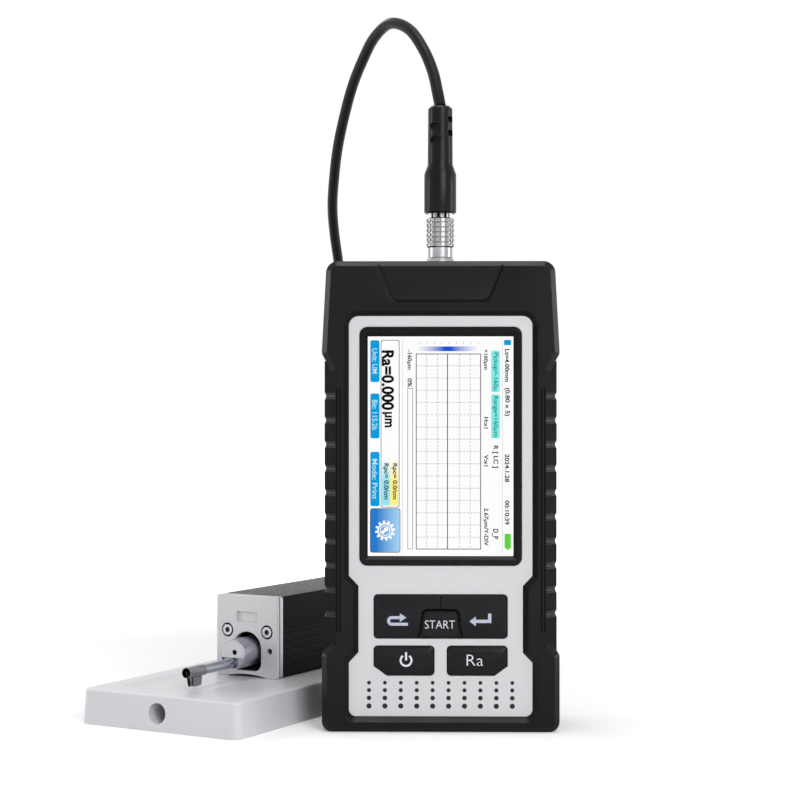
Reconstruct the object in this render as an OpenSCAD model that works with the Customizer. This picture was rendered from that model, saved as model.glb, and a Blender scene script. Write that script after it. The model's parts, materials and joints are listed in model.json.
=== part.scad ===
// Surface roughness tester: handheld unit, traverse driver with pickup, stand base and lead.
// Millimetres. Origin at the middle of the handheld unit's foot, Z up, the screen faces -Y.
// The driver and its base are drawn in their own frame, set by base_yaw, base_gap and base_along.

/* [Handheld unit] */
// Width of the rubber boot across its bumpers
boot_w = 79.6; // [78:0.2:86]
// Height of the rubber boot
boot_h = 157.6; // [155:0.2:170]
// Depth of the rubber boot
boot_d = 34; // [32:0.5:40]
// Thickness of the boot's side walls at the grips
boot_wall = 3; // [2.6:0.1:3.4]
// Thickness of the boot's top and bottom walls
boot_end = 3.2; // [2.6:0.1:4]
// Thickness of the boot's front lip and back rim
boot_lip = 2; // [1.6:0.1:2.4]
// Bevel round the front and back of the bumpers
boot_bevel = 1.8; // [1:0.1:2.2]
// How far the grip sides stand in from the bumpers
grip_in = 0.8; // [0.5:0.1:1.4]
// Width of the slanted grip face at each corner
grip_slant = 4; // [3:0.1:4.4]
// Depth of the slanted grip face
grip_depth = 4.5; // [3.5:0.1:5]
// Height of the upper bumper's straight side
upper_bumper = 30.4; // [26:0.2:34]
// Height of the lower bumper's straight side
lower_bumper = 25.2; // [23:0.2:30]
// Height of the slope below the upper bumper
upper_slope = 11; // [8:0.2:12]
// Height of the slope above the lower bumper
lower_slope = 7.2; // [5:0.2:9]
// How far the upper bumper narrows to the top
bumper_taper = 1.4; // [0.4:0.1:2]
// Number of notches in each grip
notch_n = 10; // [6:1:11]
// Height of one grip notch
notch_h = 2.3; // [1.6:0.1:3]
// Depth of one grip notch
notch_in = 0.8; // [0.4:0.1:1]

/* [Front panel] */
// Width of the silver panel in the boot's window
panel_w = 61.4; // [60:0.2:62.4]
// Distance from the boot's top to the panel's top
panel_drop = 18.4; // [17:0.2:20]
// Distance from the boot's foot to the panel's lower edge
panel_foot = 5.2; // [4.6:0.2:6.4]
// Thickness of the panel
panel_t = 2.2; // [1.8:0.1:2.6]
// How far the window narrows beside the keys
waist_in = 3.2; // [2:0.1:3.6]
// Height of the middle of the narrow part
waist_z = 37.7; // [36:0.2:39]
// Height of the narrow part
waist_h = 22.3; // [20:0.2:24]
// Width of the sloped lip round the window
lip_flare = 1.8; // [1:0.1:2]

/* [Screen] */
// Visible width of the display
screen_w = 48.6; // [46:0.2:50]
// Distance from the panel's top to the display's top
screen_drop = 6.9; // [6.2:0.1:7.6]
// Width of the bezel beside the display
bezel_side = 2.7; // [2.2:0.1:3.1]
// Width of the bezel above and below the display
bezel_end = 3.1; // [2.4:0.1:3.8]
// How far the bezel stands out from the panel
bezel_proud = 0.6; // [0.3:0.1:1]
// Thickness of the lens
lens_t = 1.2; // [0.8:0.1:1.4]
// Height of the plain strip between the keys and the bezel, the display takes the rest of the panel
label_h = 10; // [6:0.1:14]

/* [Keys] */
// Width of the whole key block
keys_w = 44.4; // [42:0.2:46]
// Height of the lower edge of the upper keys
upper_key_z = 31.4; // [31:0.1:32.4]
// Height of the upper keys
upper_key_h = 14.4; // [13:0.1:15]
// Width of the start key at its lower edge
start_w = 14.4; // [13:0.1:16]
// Height of the start key
start_h = 9.5; // [8:0.1:10.4]
// Height of the lower edge of the lower keys
lower_key_z = 19; // [18.4:0.1:19.4]
// Height of the lower keys
lower_key_h = 9.6; // [8.6:0.1:10]
// Space between the two lower keys
lower_key_gap = 4.6; // [3.6:0.1:6]
// Corner cut of the lower keys
key_cut = 4.4; // [3:0.1:5]
// How far the keys stand out from the panel
key_proud = 1.2; // [0.8:0.1:1.6]
// Width of the slope round a key's face
key_slope = 2.2; // [0.6:0.1:2.6]
// Travel of a key
key_travel = 0.7; // [0.4:0.05:0.8]

/* [Case] */
// Wall of the rear case
case_wall = 2; // [1.6:0.1:2.4]
// Distance from the panel's back to the circuit board
board_gap = 4.3; // [4:0.1:5]
// Thickness of the circuit board
board_t = 1.6; // [1.2:0.1:2]
// Sideways place of the case screws
screw_x = 24; // [22:0.2:26]
// Distance of the case screws from the boot's ends
screw_inset = 11.4; // [10.8:0.1:12]
// Diameter of the case screws
screw_d = 3; // [2.5:0.1:3]
// Thickness of the battery pack
battery_t = 9; // [7:0.2:11]
// Width of the battery pack
battery_w = 36; // [30:0.5:38]
// Height of the battery pack
battery_h = 62; // [50:0.5:70]

/* [Socket and plug] */
// Diameter of the socket's nose
nose_d = 10.2; // [9.6:0.1:10.8]
// Diameter of the plug's inner shell
plug_d = 6.4; // [5.8:0.1:6.6]
// Diameter of the release sleeve's smooth end
sleeve_d = 8.3; // [8:0.1:8.8]
// Diameter of the release sleeve's knurled part
knurl_d = 9.5; // [9.2:0.1:10.4]
// Length of the knurled part
knurl_l = 10.2; // [9:0.2:13]
// Travel of the release sleeve
sleeve_travel = 0.8; // [0.5:0.1:0.9]
// Diameter of the bend relief's wide end
relief_d = 11; // [10.4:0.1:12]
// Diameter of the bend relief's narrow end
relief_tip_d = 8.3; // [7.8:0.1:8.8]
// Length of the bend relief
relief_l = 36.9; // [32:0.1:42]
// Length of the bend relief's wide end
relief_wide_l = 13.5; // [12.4:0.1:15]
// Length of the neck between its wide and narrow ends
relief_neck = 3.3; // [2:0.1:5]

/* [Driver] */
// Width of the driver
drive_w = 26; // [25.4:0.1:28]
// Height of the driver
drive_h = 29.2; // [28.6:0.1:32]
// Length of the driver's housing
drive_l = 105; // [103:0.5:112]
// Wall of the driver's housing
drive_wall = 2; // [1.6:0.1:2.1]
// Thickness of the bright front plate
plate_t = 1.5; // [1.2:0.1:2]
// Thickness of the grey plate behind it
spacer_t = 2.3; // [2:0.1:3]
// Thickness of the rear plate
rear_t = 3; // [2.4:0.1:4]
// Travel of the pickup
stroke = 17.5; // [12:0.5:18]
// Diameter of the guide rods
rod_d = 3; // [2.5:0.1:3.2]
// Diameter of the lead screw
lead_d = 3; // [2.5:0.1:3.2]
// Length of the carriage
carriage_l = 20; // [17:0.5:22]
// Rest place of the carriage behind the housing's front
carriage_in = 18.2; // [17.6:0.2:22]
// Width of the gear motor
motor_w = 12; // [10:0.2:14]
// Height of the gear motor
motor_h = 10; // [8:0.2:10.6]
// Length of the gear motor
motor_l = 24; // [18:0.5:28]
// Length of its gearbox
gearbox_l = 9; // [7:0.2:12]

/* [Pickup] */
// Diameter of the pickup sleeve
pickup_d = 10.7; // [10:0.1:11]
// Height of the pickup's axis in the driver
pickup_z = 9.2; // [9:0.1:9.6]
// How far the pickup sleeve stands out
pickup_out = 9.2; // [7:0.2:12]
// Diameter of the stylus tube
tube_d = 3.4; // [3:0.1:3.6]
// Reach of the stylus tube's nose in front of the driver
nose_out = 36.6; // [35:0.2:40]
// Length of the stylus tube's nose
nose_l = 9.5; // [9:0.1:11]
// Thickness of the skid
skid_t = 2; // [1.9:0.1:2.6]
// Height of the skid's foot above the base's floor
skid_gap = 1.2; // [0.9:0.1:1.6]

/* [Base] */
// Width of the base
base_w = 65.2; // [60:0.2:72]
// Length of the base
base_l = 170; // [166:1:190]
// Height of the base
base_h = 12; // [11:0.2:16]
// Draft of the base's sides
base_draft = 0.7; // [0.4:0.1:2]
// Radius of the base's corners
base_r = 3.6; // [3:0.2:9]
// Depth of the bed in the base's top
bed_in = 0.5; // [0.3:0.1:0.8]
// Width of the bed
bed_w = 42; // [38:0.5:48]
// Distance from the base's front edge to the driver
drive_y = 52; // [48:0.5:58]
// Sideways place of the driver on the base
drive_x = 1.2; // [-2:0.1:2]
// Diameter of the hole in the base's front
base_hole_d = 7; // [5:0.2:7.4]
// Depth of the hole in the base's front
base_hole_l = 20; // [10:1:30]

/* [Lead] */
// Diameter of the lead
lead_cord_d = 4; // [3.4:0.1:4.4]

/* [Hidden] */
$fn = 64;
fit = 0.2;
run = 0.05;

// Places across the depth of the handheld unit, front to back
y_front = -boot_d/2;
y_panel = y_front + boot_lip;
y_split = y_panel + panel_t;
y_board = y_split + board_gap;
y_board_back = y_board + board_t;
y_back = boot_d/2 - boot_lip;
y_back_in = y_back - case_wall;

// Outline of the boot and the case in it
grip_x = boot_w/2 - grip_in;
land_x = grip_x - grip_slant;
cave_x = grip_x - boot_wall;
cave_r = 4;
case_x = cave_x - fit;
case_z0 = boot_end + fit;
case_z1 = boot_h - boot_end - fit;
post_r = boot_bevel + 0.4;
top_r = 4;
foot_r = 3.5;
upper_z = boot_h - upper_bumper;
grip_z0 = lower_bumper + lower_slope;
grip_z1 = upper_z - upper_slope;

// Window in the boot
panel_z1 = boot_h - panel_drop;
waist_x = panel_w/2 - waist_in;
waist_z0 = waist_z - waist_h/2;
waist_z1 = waist_z + waist_h/2;
waist_run = 3.4;
panel_r = 3.3;
panel_foot_r = 2.4;
notch_top = 3.8;
notch_foot = 7.1;
groove_w = 0.45;
groove_in = 0.8;
brow_drop = 14;
brow_in = 0.5;
brow_r = 3.5;
brow_x = 17.4;
brow_top_x = 22.2;
brow_w = 1.2;

// Display stack, its visible height is what the boot leaves above the keys
screen_h = boot_h - panel_drop - screen_drop - bezel_end - label_h - upper_key_h - upper_key_z;
screen_z = panel_z1 - screen_drop - screen_h/2;
bezel_w = screen_w + 2*bezel_side;
bezel_h = screen_h + 2*bezel_end;
bezel_r = 2.5;
bezel_edge = 1.4;
bezel_flange = 1.4;
bezel_lip = y_panel - bezel_proud + 1.4;
lens_w = screen_w + 2*bezel_side - 2.4;
lens_h = screen_h + 2*bezel_end - 2.4;

// Keys
key_gap = 0.3;
key_rim = 1;
key_flange = 1;
key_slack = 0.1;
key_fit = 0.25;
switch_h = 0.4;
start_taper = 1.15;
key_r = 1.2;
key_face_r = 3;
key_edge = 0.3;
key_ledge = 0.06;
key_cut_h = key_cut*0.73;
key_x0 = lower_key_gap/2;
plunger_r = 1.5;
y_flange = y_split + key_slack;
y_flange_back = y_flange + key_flange;
y_guide = y_flange_back + key_travel + 0.2;
y_plunger = y_board - switch_h - key_travel - 0.1;
upper_mid_z = upper_key_z + upper_key_h/2;
lower_mid_z = lower_key_z + lower_key_h/2;
lower_mid_x = key_x0 + (keys_w/2 - key_x0)/2;
start_mid_z = upper_key_z + start_h/2;
plungers = [[-keys_w/4 - 2, upper_mid_z], [keys_w/4 + 2, upper_mid_z], [0, start_mid_z],
    [-lower_mid_x, lower_mid_z], [lower_mid_x, lower_mid_z]];

// Case screws, board and socket
screw_zs = [screw_inset, boot_h - screw_inset];
screw_hole = screw_d/2 + 0.1;
head_r = screw_d*0.9;
head_h = 1.4;
post_out = 1.9;
socket_r = 4.5;
flange_r = 6;
nose_z = boot_h + 2.1;
plug_z = case_z1 - 5.2;
sleeve_z = nose_z + 0.15;
knurl_z = sleeve_z + 3.4;
relief_z = knurl_z + knurl_l + sleeve_travel + 0.65;
collet_r = plug_d/2 + 1.2;
collet_l = 11.8;
relief_end = relief_z + relief_l;

// Where the base stands beside the handheld unit
base_yaw = 28.5;
base_gap = 0.1;
base_along = 55.9;
back = [sin(base_yaw), cos(base_yaw), 0];
side = [cos(base_yaw), -sin(base_yaw), 0];
base_o = [-boot_w/2, boot_d/2, 0] - (base_w/2 + base_gap)*side - base_along*back;
base_top = base_h - bed_in;
base_edge = 0.8;
bed_run = 2.5;
bed_y = 12;
drive_o = base_o + drive_x*side;

// Driver, front to back from its front plate
shell_y = plate_t + spacer_t;
shell_end = shell_y + drive_l;
rear_end = shell_end + rear_t;
floor_z = 3.2;
roof_z = drive_h - drive_wall - 0.2;
cave_w = drive_w - 2*drive_wall;
arch_h = 1;
arch_r = 41;
screw_p = 8.5;
screw_h = 16.5;
small_screw_r = 1;
small_head_r = 1.9;
side_hole_r = 1.1;
boss_r = cave_w/2 - screw_p;
boss_l = 10;
drive_axis = 21.5;
rod_p = 6.8;
carriage_y = shell_y + carriage_in;
bracket_y = carriage_y + carriage_l + stroke + 6;
bracket_t = 3;
motor_y = bracket_y + bracket_t;
nut_r = 3;
bush_r = 2.5;
hub_r = 3.4;
gland_z = 14.5;
gland_r = 3;
gland_end = rear_end + 14.2;

// Pickup, drawn from the front plate with the nose towards -Y
pickup_wall = 0.5;
core_r = pickup_d/2 - pickup_wall;
core_step = 1.2;
core_hole_r = 0.9;
pickup_back = carriage_y + 8;
tube_drop = core_r - tube_d/2 - 0.1;
tube_z = pickup_z - tube_drop;
nose_r = tube_d/2 + 0.25;
pivot_y = 4;
lever_r = 0.5;
tip_y = -nose_out + 0.6;
tip_lean = 14;
tip_r = 0.5;
slot_w = 1.6;
slot_l = 2.6;

// Lead: the tail leaves the driver, lies in a tied coil behind the unit and rises to the plug
cord_r = lead_cord_d/2;
coil_r = 24;
coil_pitch = lead_cord_d + 0.15;
coil_turns = 3.575;
coil_top = cord_r + coil_turns*coil_pitch;
tail_run = 45;
tail_0 = drive_o + (drive_y + gland_end)*back + [0, 0, base_top + gland_z];
tail_1 = drive_o + (drive_y + gland_end + tail_run)*back + [0, 0, cord_r];
coil_c = [tail_1[0], tail_1[1], 0] - coil_r*side;
rise_0 = coil_c + [-coil_r, 0, coil_top];
plug_top = [0, 0, relief_end];
tail_route = [tail_0, tail_0 + 8*back, tail_0 + 18*back + [0, 0, -5], tail_1 - 14*back + [0, 0, 4], tail_1];
lead_route = [plug_top, plug_top + [-0.8, 1.9, 4.6], plug_top + [-2.5, 6.7, 13.1],
    plug_top + [-5.8, 12.6, 22.1], plug_top + [-10.9, 20.3, 30.7], plug_top + [-17.7, 30.3, 34.9],
    plug_top + [-23.8, 41.4, 32.1],
    plug_top + [-28.6, 51.9, 25.5], plug_top + [-32.7, 61.9, 17.9], plug_top + [-36.2, 71.6, 8.2],
    plug_top + [-39.2, 81.3, -2.4], plug_top + [-41.1, 90.8, -12.8], plug_top + [-42.3, 100.4, -23.2],
    plug_top + [-42, 110, -33.5],
    rise_0 + [-7.2, -65.8, 141.7], rise_0 + [-6, -50.8, 110.2], rise_0 + [-4.2, -37.8, 76.2],
    rise_0 + [-2.5, -26.5, 41.2], rise_0 + [-0.8, -15, 12.2], rise_0];
sides = 10;

// Rounded rectangle about the origin
module soft_square(w, h, r) {
    square([w - 2*r, h], center = true);
    square([w, h - 2*r], center = true);
    for (sx = [-1, 1], sy = [-1, 1])
        translate([sx*(w/2 - r), sy*(h/2 - r)]) circle(r = r);
}

// Extrudes an X-Z outline from y0 to y1
module slab(y0, y1) {
    translate([0, y1, 0]) rotate([90, 0, 0]) linear_extrude(height = y1 - y0) children();
}

// Round bar along Y
module bar(x, z, r, y0, y1) {
    translate([x, y0, z]) rotate([-90, 0, 0]) cylinder(r = r, h = y1 - y0);
}

module on_base() {
    translate(base_o) rotate([0, 0, -base_yaw]) children();
}

module in_driver() {
    on_base() translate([drive_x, drive_y, base_top]) children();
}

// Corner of a bumper, bevelled at both ends
module post(x, z, r) {
    bar(x, z, r, y_front + boot_bevel, -y_front - boot_bevel);
    bar(x, z, r - boot_bevel, y_front, -y_front);
}

module upper_block() {
    hull() {
        for (s = [-1, 1]) {
            post(s*(boot_w/2 - bumper_taper - top_r), boot_h - top_r, top_r);
            post(s*(boot_w/2 - post_r), upper_z, post_r);
            post(s*(land_x - post_r), grip_z1 + post_r, post_r);
        }
    }
}

module lower_block() {
    hull() {
        for (s = [-1, 1]) {
            post(s*(boot_w/2 - foot_r), foot_r, foot_r);
            post(s*(boot_w/2 - post_r), lower_bumper, post_r);
            post(s*(land_x - post_r), grip_z0 - post_r, post_r);
        }
    }
}

// Plan of the boot between the bumpers
module grip_plan(inset) {
    gx = grip_x - inset*0.55;
    lx = land_x - inset*0.4;
    gy = boot_d/2 - grip_depth - inset*0.4;
    polygon([[-lx, y_front + inset], [lx, y_front + inset], [gx, -gy], [gx, gy], [lx, -y_front - inset],
        [-lx, -y_front - inset], [-gx, gy], [-gx, -gy]]);
}

// Window in the boot's front in three convex parts, each grown by out
module window_part(i, out) {
    top = panel_z1 + out;
    foot = panel_foot - out;
    x = panel_w/2 + out;
    wx = waist_x + out;
    r = panel_r + out;
    fr = panel_foot_r + out;
    if (i == 0) {
        polygon([[-x, top - r], [x, top - r], [x, waist_z1 + waist_run - out*0.4],
            [wx, waist_z1 - out*0.4], [-wx, waist_z1 - out*0.4], [-x, waist_z1 + waist_run - out*0.4]]);
        translate([-x + r, top - r]) circle(r = r, $fn = 32);
        translate([x - r, top - r]) circle(r = r, $fn = 32);
        translate([-x + r, top - r]) square([2*x - 2*r, r]);
    }
    if (i == 1)
        translate([-wx, waist_z0 - 1]) square([2*wx, waist_h + 2]);
    if (i == 2) {
        polygon([[-x, foot + fr], [-x + fr, foot], [x - fr, foot], [x, foot + fr],
            [x, waist_z0 - waist_run + out*0.4], [wx, waist_z0 + out*0.4], [-wx, waist_z0 + out*0.4],
            [-x, waist_z0 - waist_run + out*0.4]]);
        translate([-x + fr, foot + fr]) circle(r = fr, $fn = 32);
        translate([x - fr, foot + fr]) circle(r = fr, $fn = 32);
    }
}

// One grip notch on both sides: a wide shallow step with a narrow deep one in it
module notch(z) {
    for (step = [[notch_h, notch_in*0.45], [notch_h*0.55, notch_in]])
        translate([0, 0, z - step[0]/2]) linear_extrude(height = step[0])
            difference() {
                square([boot_w + 4, boot_d + 4], center = true);
                grip_plan(step[1]);
                square([2*land_x + 0.4, boot_d + 8], center = true);
            }
}

// Block that fills the boot's cavity, grown by g on its sides and ends
module case_block(g) {
    translate([0, 0, case_z0 - g]) linear_extrude(height = case_z1 - case_z0 + 2*g)
        soft_square(2*(case_x + g), 2*y_back, cave_r);
}

// Outline of the plain field above the screen, open at the top
module brow(in) {
    r = brow_r - in;
    z0 = boot_h - brow_drop + in;
    x = brow_x - in;
    polygon([[-x + r, z0], [x - r, z0], [x, z0 + r], [brow_top_x - in, boot_h + 1],
        [-brow_top_x + in, boot_h + 1], [-x, z0 + r]]);
    translate([-x + r, z0 + r]) circle(r = r, $fn = 32);
    translate([x - r, z0 + r]) circle(r = r, $fn = 32);
}

// Groove round the plain field
module brow_groove() {
    difference() {
        hull() {
            slab(y_front - 0.3, y_front) brow(0);
            slab(y_front, y_front + brow_in) brow(brow_w*0.4);
        }
        hull() {
            slab(y_front - 0.5, y_front) brow(brow_w);
            slab(y_front + brow_in, y_front + brow_in + 0.5) brow(brow_w*0.65);
        }
    }
}

module rubber_boot() {
    pitch = (grip_z1 - grip_z0 - notch_top - notch_foot)/(notch_n - 1);
    color([0.14, 0.14, 0.15]) difference() {
        union() {
            translate([0, 0, grip_z0 - 8]) linear_extrude(height = grip_z1 - grip_z0 + 16) grip_plan(0);
            upper_block();
            lower_block();
        }
        case_block(fit);
        for (i = [0:2]) {
            slab(y_front - 1, y_panel + 1) window_part(i, 0);
            hull() {
                slab(y_front - 0.4, y_front) window_part(i, lip_flare);
                slab(y_panel - 0.3, y_panel) window_part(i, 0);
            }
        }
        slab(y_back - 1, -y_front + 1) translate([0, boot_h/2]) soft_square(58, boot_h - 12.6, 6);
        brow_groove();
        for (i = [0:notch_n - 1]) notch(grip_z1 - notch_top - pitch*i);
        for (s = [-1, 1], in = [0.3, 1.4])
            translate([s*(land_x - in) - groove_w/2, y_front - 1, grip_z0 + 1])
                cube([groove_w, 1 + groove_in, grip_z1 - grip_z0 - 2]);
        translate([0, 0, case_z1 - 1]) cylinder(r = flange_r + fit, h = boot_end + 3);
    }
}

module rear_case() {
    color([0.2, 0.2, 0.21]) difference() {
        union() {
            difference() {
                case_block(0);
                translate([-boot_w/2, -boot_d, -1]) cube([boot_w, boot_d + y_split, boot_h + 2]);
                translate([0, 0, case_z0 + case_wall])
                    linear_extrude(height = case_z1 - case_z0 - 2*case_wall) translate([0, -case_wall])
                     soft_square(2*(case_x - case_wall), 2*y_back, cave_r - 1.5);
            }
            for (s = [-1, 1], z = screw_zs)
                bar(s*screw_x, z, screw_hole + post_out, y_board_back, y_back_in + 0.5);
        }
        for (s = [-1, 1], z = screw_zs) {
            bar(s*screw_x, z, screw_hole, y_board_back - 1, y_back + 1);
            bar(s*screw_x, z, head_r + fit, y_back - head_h, y_back + 1);
        }
        translate([0, 0, case_z1 - case_wall - 1]) cylinder(r = socket_r + 0.1, h = case_wall + 2);
    }
}

module front_panel() {
    color([0.8, 0.8, 0.82]) difference() {
        union() {
            intersection() {
                case_block(0);
                translate([-boot_w/2, y_panel - 1, 0]) cube([boot_w, panel_t + 1, boot_h]);
            }
            for (s = [-1, 1], z = screw_zs) bar(s*screw_x, z, screw_hole + post_out, y_split - 0.5, y_board);
        }
        slab(y_panel - 1, y_split + 1) translate([0, screen_z])
            soft_square(bezel_w + 2*fit, bezel_h + 2*fit, bezel_r + fit);
        slab(y_panel - 1, y_split + 1) {
            translate([0, upper_mid_z])
                soft_square(keys_w + 2*key_fit, upper_key_h + 2*key_fit, key_r + key_fit);
            for (s = [-1, 1]) scale([s, 1]) lower_outline(key_fit);
        }
        for (s = [-1, 1], z = screw_zs) bar(s*screw_x, z, screw_hole, y_split - 0.7, y_board + 1);
    }
}

module screen_bezel() {
    color([0.08, 0.08, 0.09]) difference() {
        union() {
            slab(y_panel - bezel_proud, y_split) translate([0, screen_z])
                soft_square(bezel_w, bezel_h, bezel_r);
            slab(y_split, y_split + 1) translate([0, screen_z])
                soft_square(bezel_w + 2*bezel_flange, bezel_h + 2*bezel_flange, bezel_r);
        }
        slab(y_panel - 5, y_split) translate([-screen_w/2, screen_z - screen_h/2])
            square([screen_w, screen_h]);
        slab(bezel_lip, y_split + 2) translate([-lens_w/2 - 0.1, screen_z - lens_h/2 - 0.1])
            square([lens_w + 0.2, lens_h + 0.2]);
        hull() {
            slab(y_panel - bezel_proud - 0.2, y_panel - bezel_proud) translate([0, screen_z])
                square([screen_w + 2*bezel_edge, screen_h + 2*bezel_edge], center = true);
            slab(bezel_lip - 0.4, bezel_lip) translate([0, screen_z])
                square([screen_w, screen_h], center = true);
        }
    }
}

module screen_lens() {
    color([0.75, 0.85, 0.9]) slab(bezel_lip, bezel_lip + lens_t) translate([0, screen_z])
        square([lens_w, lens_h], center = true);
}

module display_module() {
    color([0.9, 0.92, 0.94]) slab(bezel_lip + lens_t, y_board) translate([0, screen_z])
        square([lens_w, lens_h], center = true);
}

module main_board() {
    color([0.1, 0.35, 0.2]) difference() {
        union() {
            slab(y_board, y_board_back) translate([0, boot_h/2])
                soft_square(2*screw_x + 10, boot_h - 2*screw_inset + 9, 2);
            for (p = plungers) translate([p[0] - 2, y_board - switch_h, p[1] - 2])
                cube([4, switch_h + 0.5, 4]);
        }
        for (s = [-1, 1], z = screw_zs) bar(s*screw_x, z, screw_hole, y_board - 1, y_board_back + 1);
    }
}

module key_guide() {
    z0 = lower_key_z - 2;
    z1 = upper_key_z + upper_key_h + 2;
    color([0.85, 0.85, 0.8]) difference() {
        slab(y_guide, y_board) translate([0, (z0 + z1)/2]) soft_square(keys_w + 5, z1 - z0, 2);
        for (p = plungers) bar(p[0], p[1], plunger_r + 1.6, y_guide - 1, y_board + 1);
    }
}

// Face outlines of the keys, grown by g
module lower_outline(g) {
    x0 = key_x0 - g;
    x1 = keys_w/2 + g;
    z0 = lower_key_z - g;
    z1 = lower_key_z + lower_key_h + g;
    intersection() {
        translate([(x0 + x1)/2, (z0 + z1)/2]) soft_square(x1 - x0, z1 - z0, max(key_r + g, 0.3));
        polygon([[x0, z0], [x1 - key_cut, z0], [x1, z0 + key_cut_h], [x1, z1], [x0, z1]]);
    }
}

// Start key: slanted sides and rounded upper corners
module start_outline(g) {
    lean = atan2(start_taper, start_h);
    r = key_r + 0.6 + g;
    z0 = upper_key_z - max(g, 0);
    z1 = upper_key_z + start_h + g;
    x0 = start_w/2 + g/cos(lean) + (upper_key_z - z0)*tan(lean);
    cx = x0 - (z1 - r - z0)*tan(lean) - r/cos(lean);
    polygon([[-x0, z0], [x0, z0], [cx + r*cos(lean), z1 - r + r*sin(lean)], [cx, z1], [-cx, z1],
        [-cx - r*cos(lean), z1 - r + r*sin(lean)]]);
    for (sx = [-1, 1]) translate([sx*cx, z1 - r]) circle(r = r);
}

// Both upper keys as one block, its edges in by in
module upper_block_outline(in, r) {
    translate([0, upper_mid_z]) soft_square(keys_w - 2*in, upper_key_h - 2*in, r);
}

// Space kept free beside an upper key: the other half and the start key
module upper_cut() {
    translate([-keys_w, upper_key_z - 2]) square([keys_w + key_gap/2, upper_key_h + 4]);
    start_outline(key_gap);
}

// Slope from a key's edge to its face
module pillow() {
    hull() {
        slab(y_panel - key_edge, y_panel - key_edge + 0.1) children(0);
        slab(y_panel - key_proud, y_panel - key_proud + 0.1) children(1);
    }
}

// Plunger on a key's back
module plunger(i) {
    bar(plungers[i][0], plungers[i][1], plunger_r, y_flange_back - 0.3, y_plunger);
}

module upper_key(i) {
    color([0.15, 0.15, 0.16]) {
        scale([i == 0 ? -1 : 1, 1, 1]) {
            difference() {
                union() {
                    slab(y_panel - key_edge, y_flange_back) upper_block_outline(0, key_r);
                    pillow() {
                        upper_block_outline(key_ledge, key_r);
                        upper_block_outline(key_slope, key_face_r);
                    }
                }
                slab(y_panel - 5, y_flange_back + 1) upper_cut();
            }
            slab(y_flange, y_flange_back) translate([keys_w/2 - 3, upper_key_z - key_rim])
                square([3 + key_rim, upper_key_h + 2*key_rim]);
            slab(y_flange, y_flange_back) translate([key_gap/2, upper_key_z + upper_key_h - 2])
                square([keys_w/2 - key_gap/2, 2 + key_rim]);
        }
        plunger(i);
    }
}

module return_key() {
    upper_key(0);
}

module enter_key() {
    upper_key(1);
}

module start_key() {
    color([0.17, 0.17, 0.18]) {
        slab(y_panel - key_edge, y_flange_back) start_outline(0);
        pillow() {
            start_outline(-key_ledge);
            intersection() {
                start_outline(-key_slope*0.5);
                translate([-start_w, upper_key_z + key_slope*0.5]) square([2*start_w, start_h]);
            }
        }
        slab(y_flange, y_flange_back) translate([-start_w/2, upper_key_z - key_rim]) square([start_w, 2]);
        plunger(2);
    }
}

module lower_key(i) {
    color([0.15, 0.15, 0.16]) {
        scale([i == 3 ? -1 : 1, 1, 1]) {
            slab(y_panel - key_edge, y_flange_back) lower_outline(0);
            pillow() {
                lower_outline(-key_ledge);
                lower_outline(-key_slope*0.7);
            }
            slab(y_flange, y_flange_back) lower_outline(key_rim);
        }
        plunger(i);
    }
}

module power_key() {
    lower_key(3);
}

module parameter_key() {
    lower_key(4);
}

module battery_pack() {
    color([0.25, 0.3, 0.5]) translate([0, 0, boot_h*0.55]) slab(y_back_in - battery_t, y_back_in)
        soft_square(battery_w, battery_h, 2);
}

module buzzer() {
    color([0.1, 0.1, 0.1]) bar(0, screw_inset, 4.5, y_split + 0.6, y_board);
}

module case_screws() {
    color([0.6, 0.6, 0.62]) for (s = [-1, 1], z = screw_zs) {
        difference() {
            bar(s*screw_x, z, head_r, y_back - head_h, y_back - 0.2);
            translate([s*screw_x - head_r*0.7, y_back - 0.9, z - 0.4]) cube([head_r*1.4, 2, 0.8]);
            translate([s*screw_x - 0.4, y_back - 0.9, z - head_r*0.7]) cube([0.8, 2, head_r*1.4]);
        }
        bar(s*screw_x, z, screw_d/2, y_split - 0.4, y_back - head_h + 0.3);
    }
}

module socket_shell() {
    r1 = nose_d/2;
    color([0.66, 0.66, 0.68]) rotate_extrude() difference() {
        polygon([[0, plug_z - 2.4], [socket_r, plug_z - 2.4], [socket_r, case_z1], [flange_r, case_z1],
            [flange_r, case_z1 + 2.4], [r1, case_z1 + 2.4], [r1, nose_z - 1.7], [sleeve_d/2 + 0.2, nose_z],
            [0, nose_z]]);
        translate([0, plug_z]) square([plug_d/2 + 0.1, boot_h]);
    }
}

module socket_nut() {
    color([0.7, 0.68, 0.6]) translate([0, 0, case_z1 - case_wall - 2.6]) difference() {
        cylinder(r = socket_r + 1.8, h = 2.6, $fn = 6);
        translate([0, 0, -1]) cylinder(r = socket_r + 0.05, h = 5);
    }
}

module plug_shell() {
    color([0.7, 0.7, 0.72]) translate([0, 0, plug_z])
        cylinder(r = plug_d/2, h = relief_z + collet_l - plug_z);
}

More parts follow.
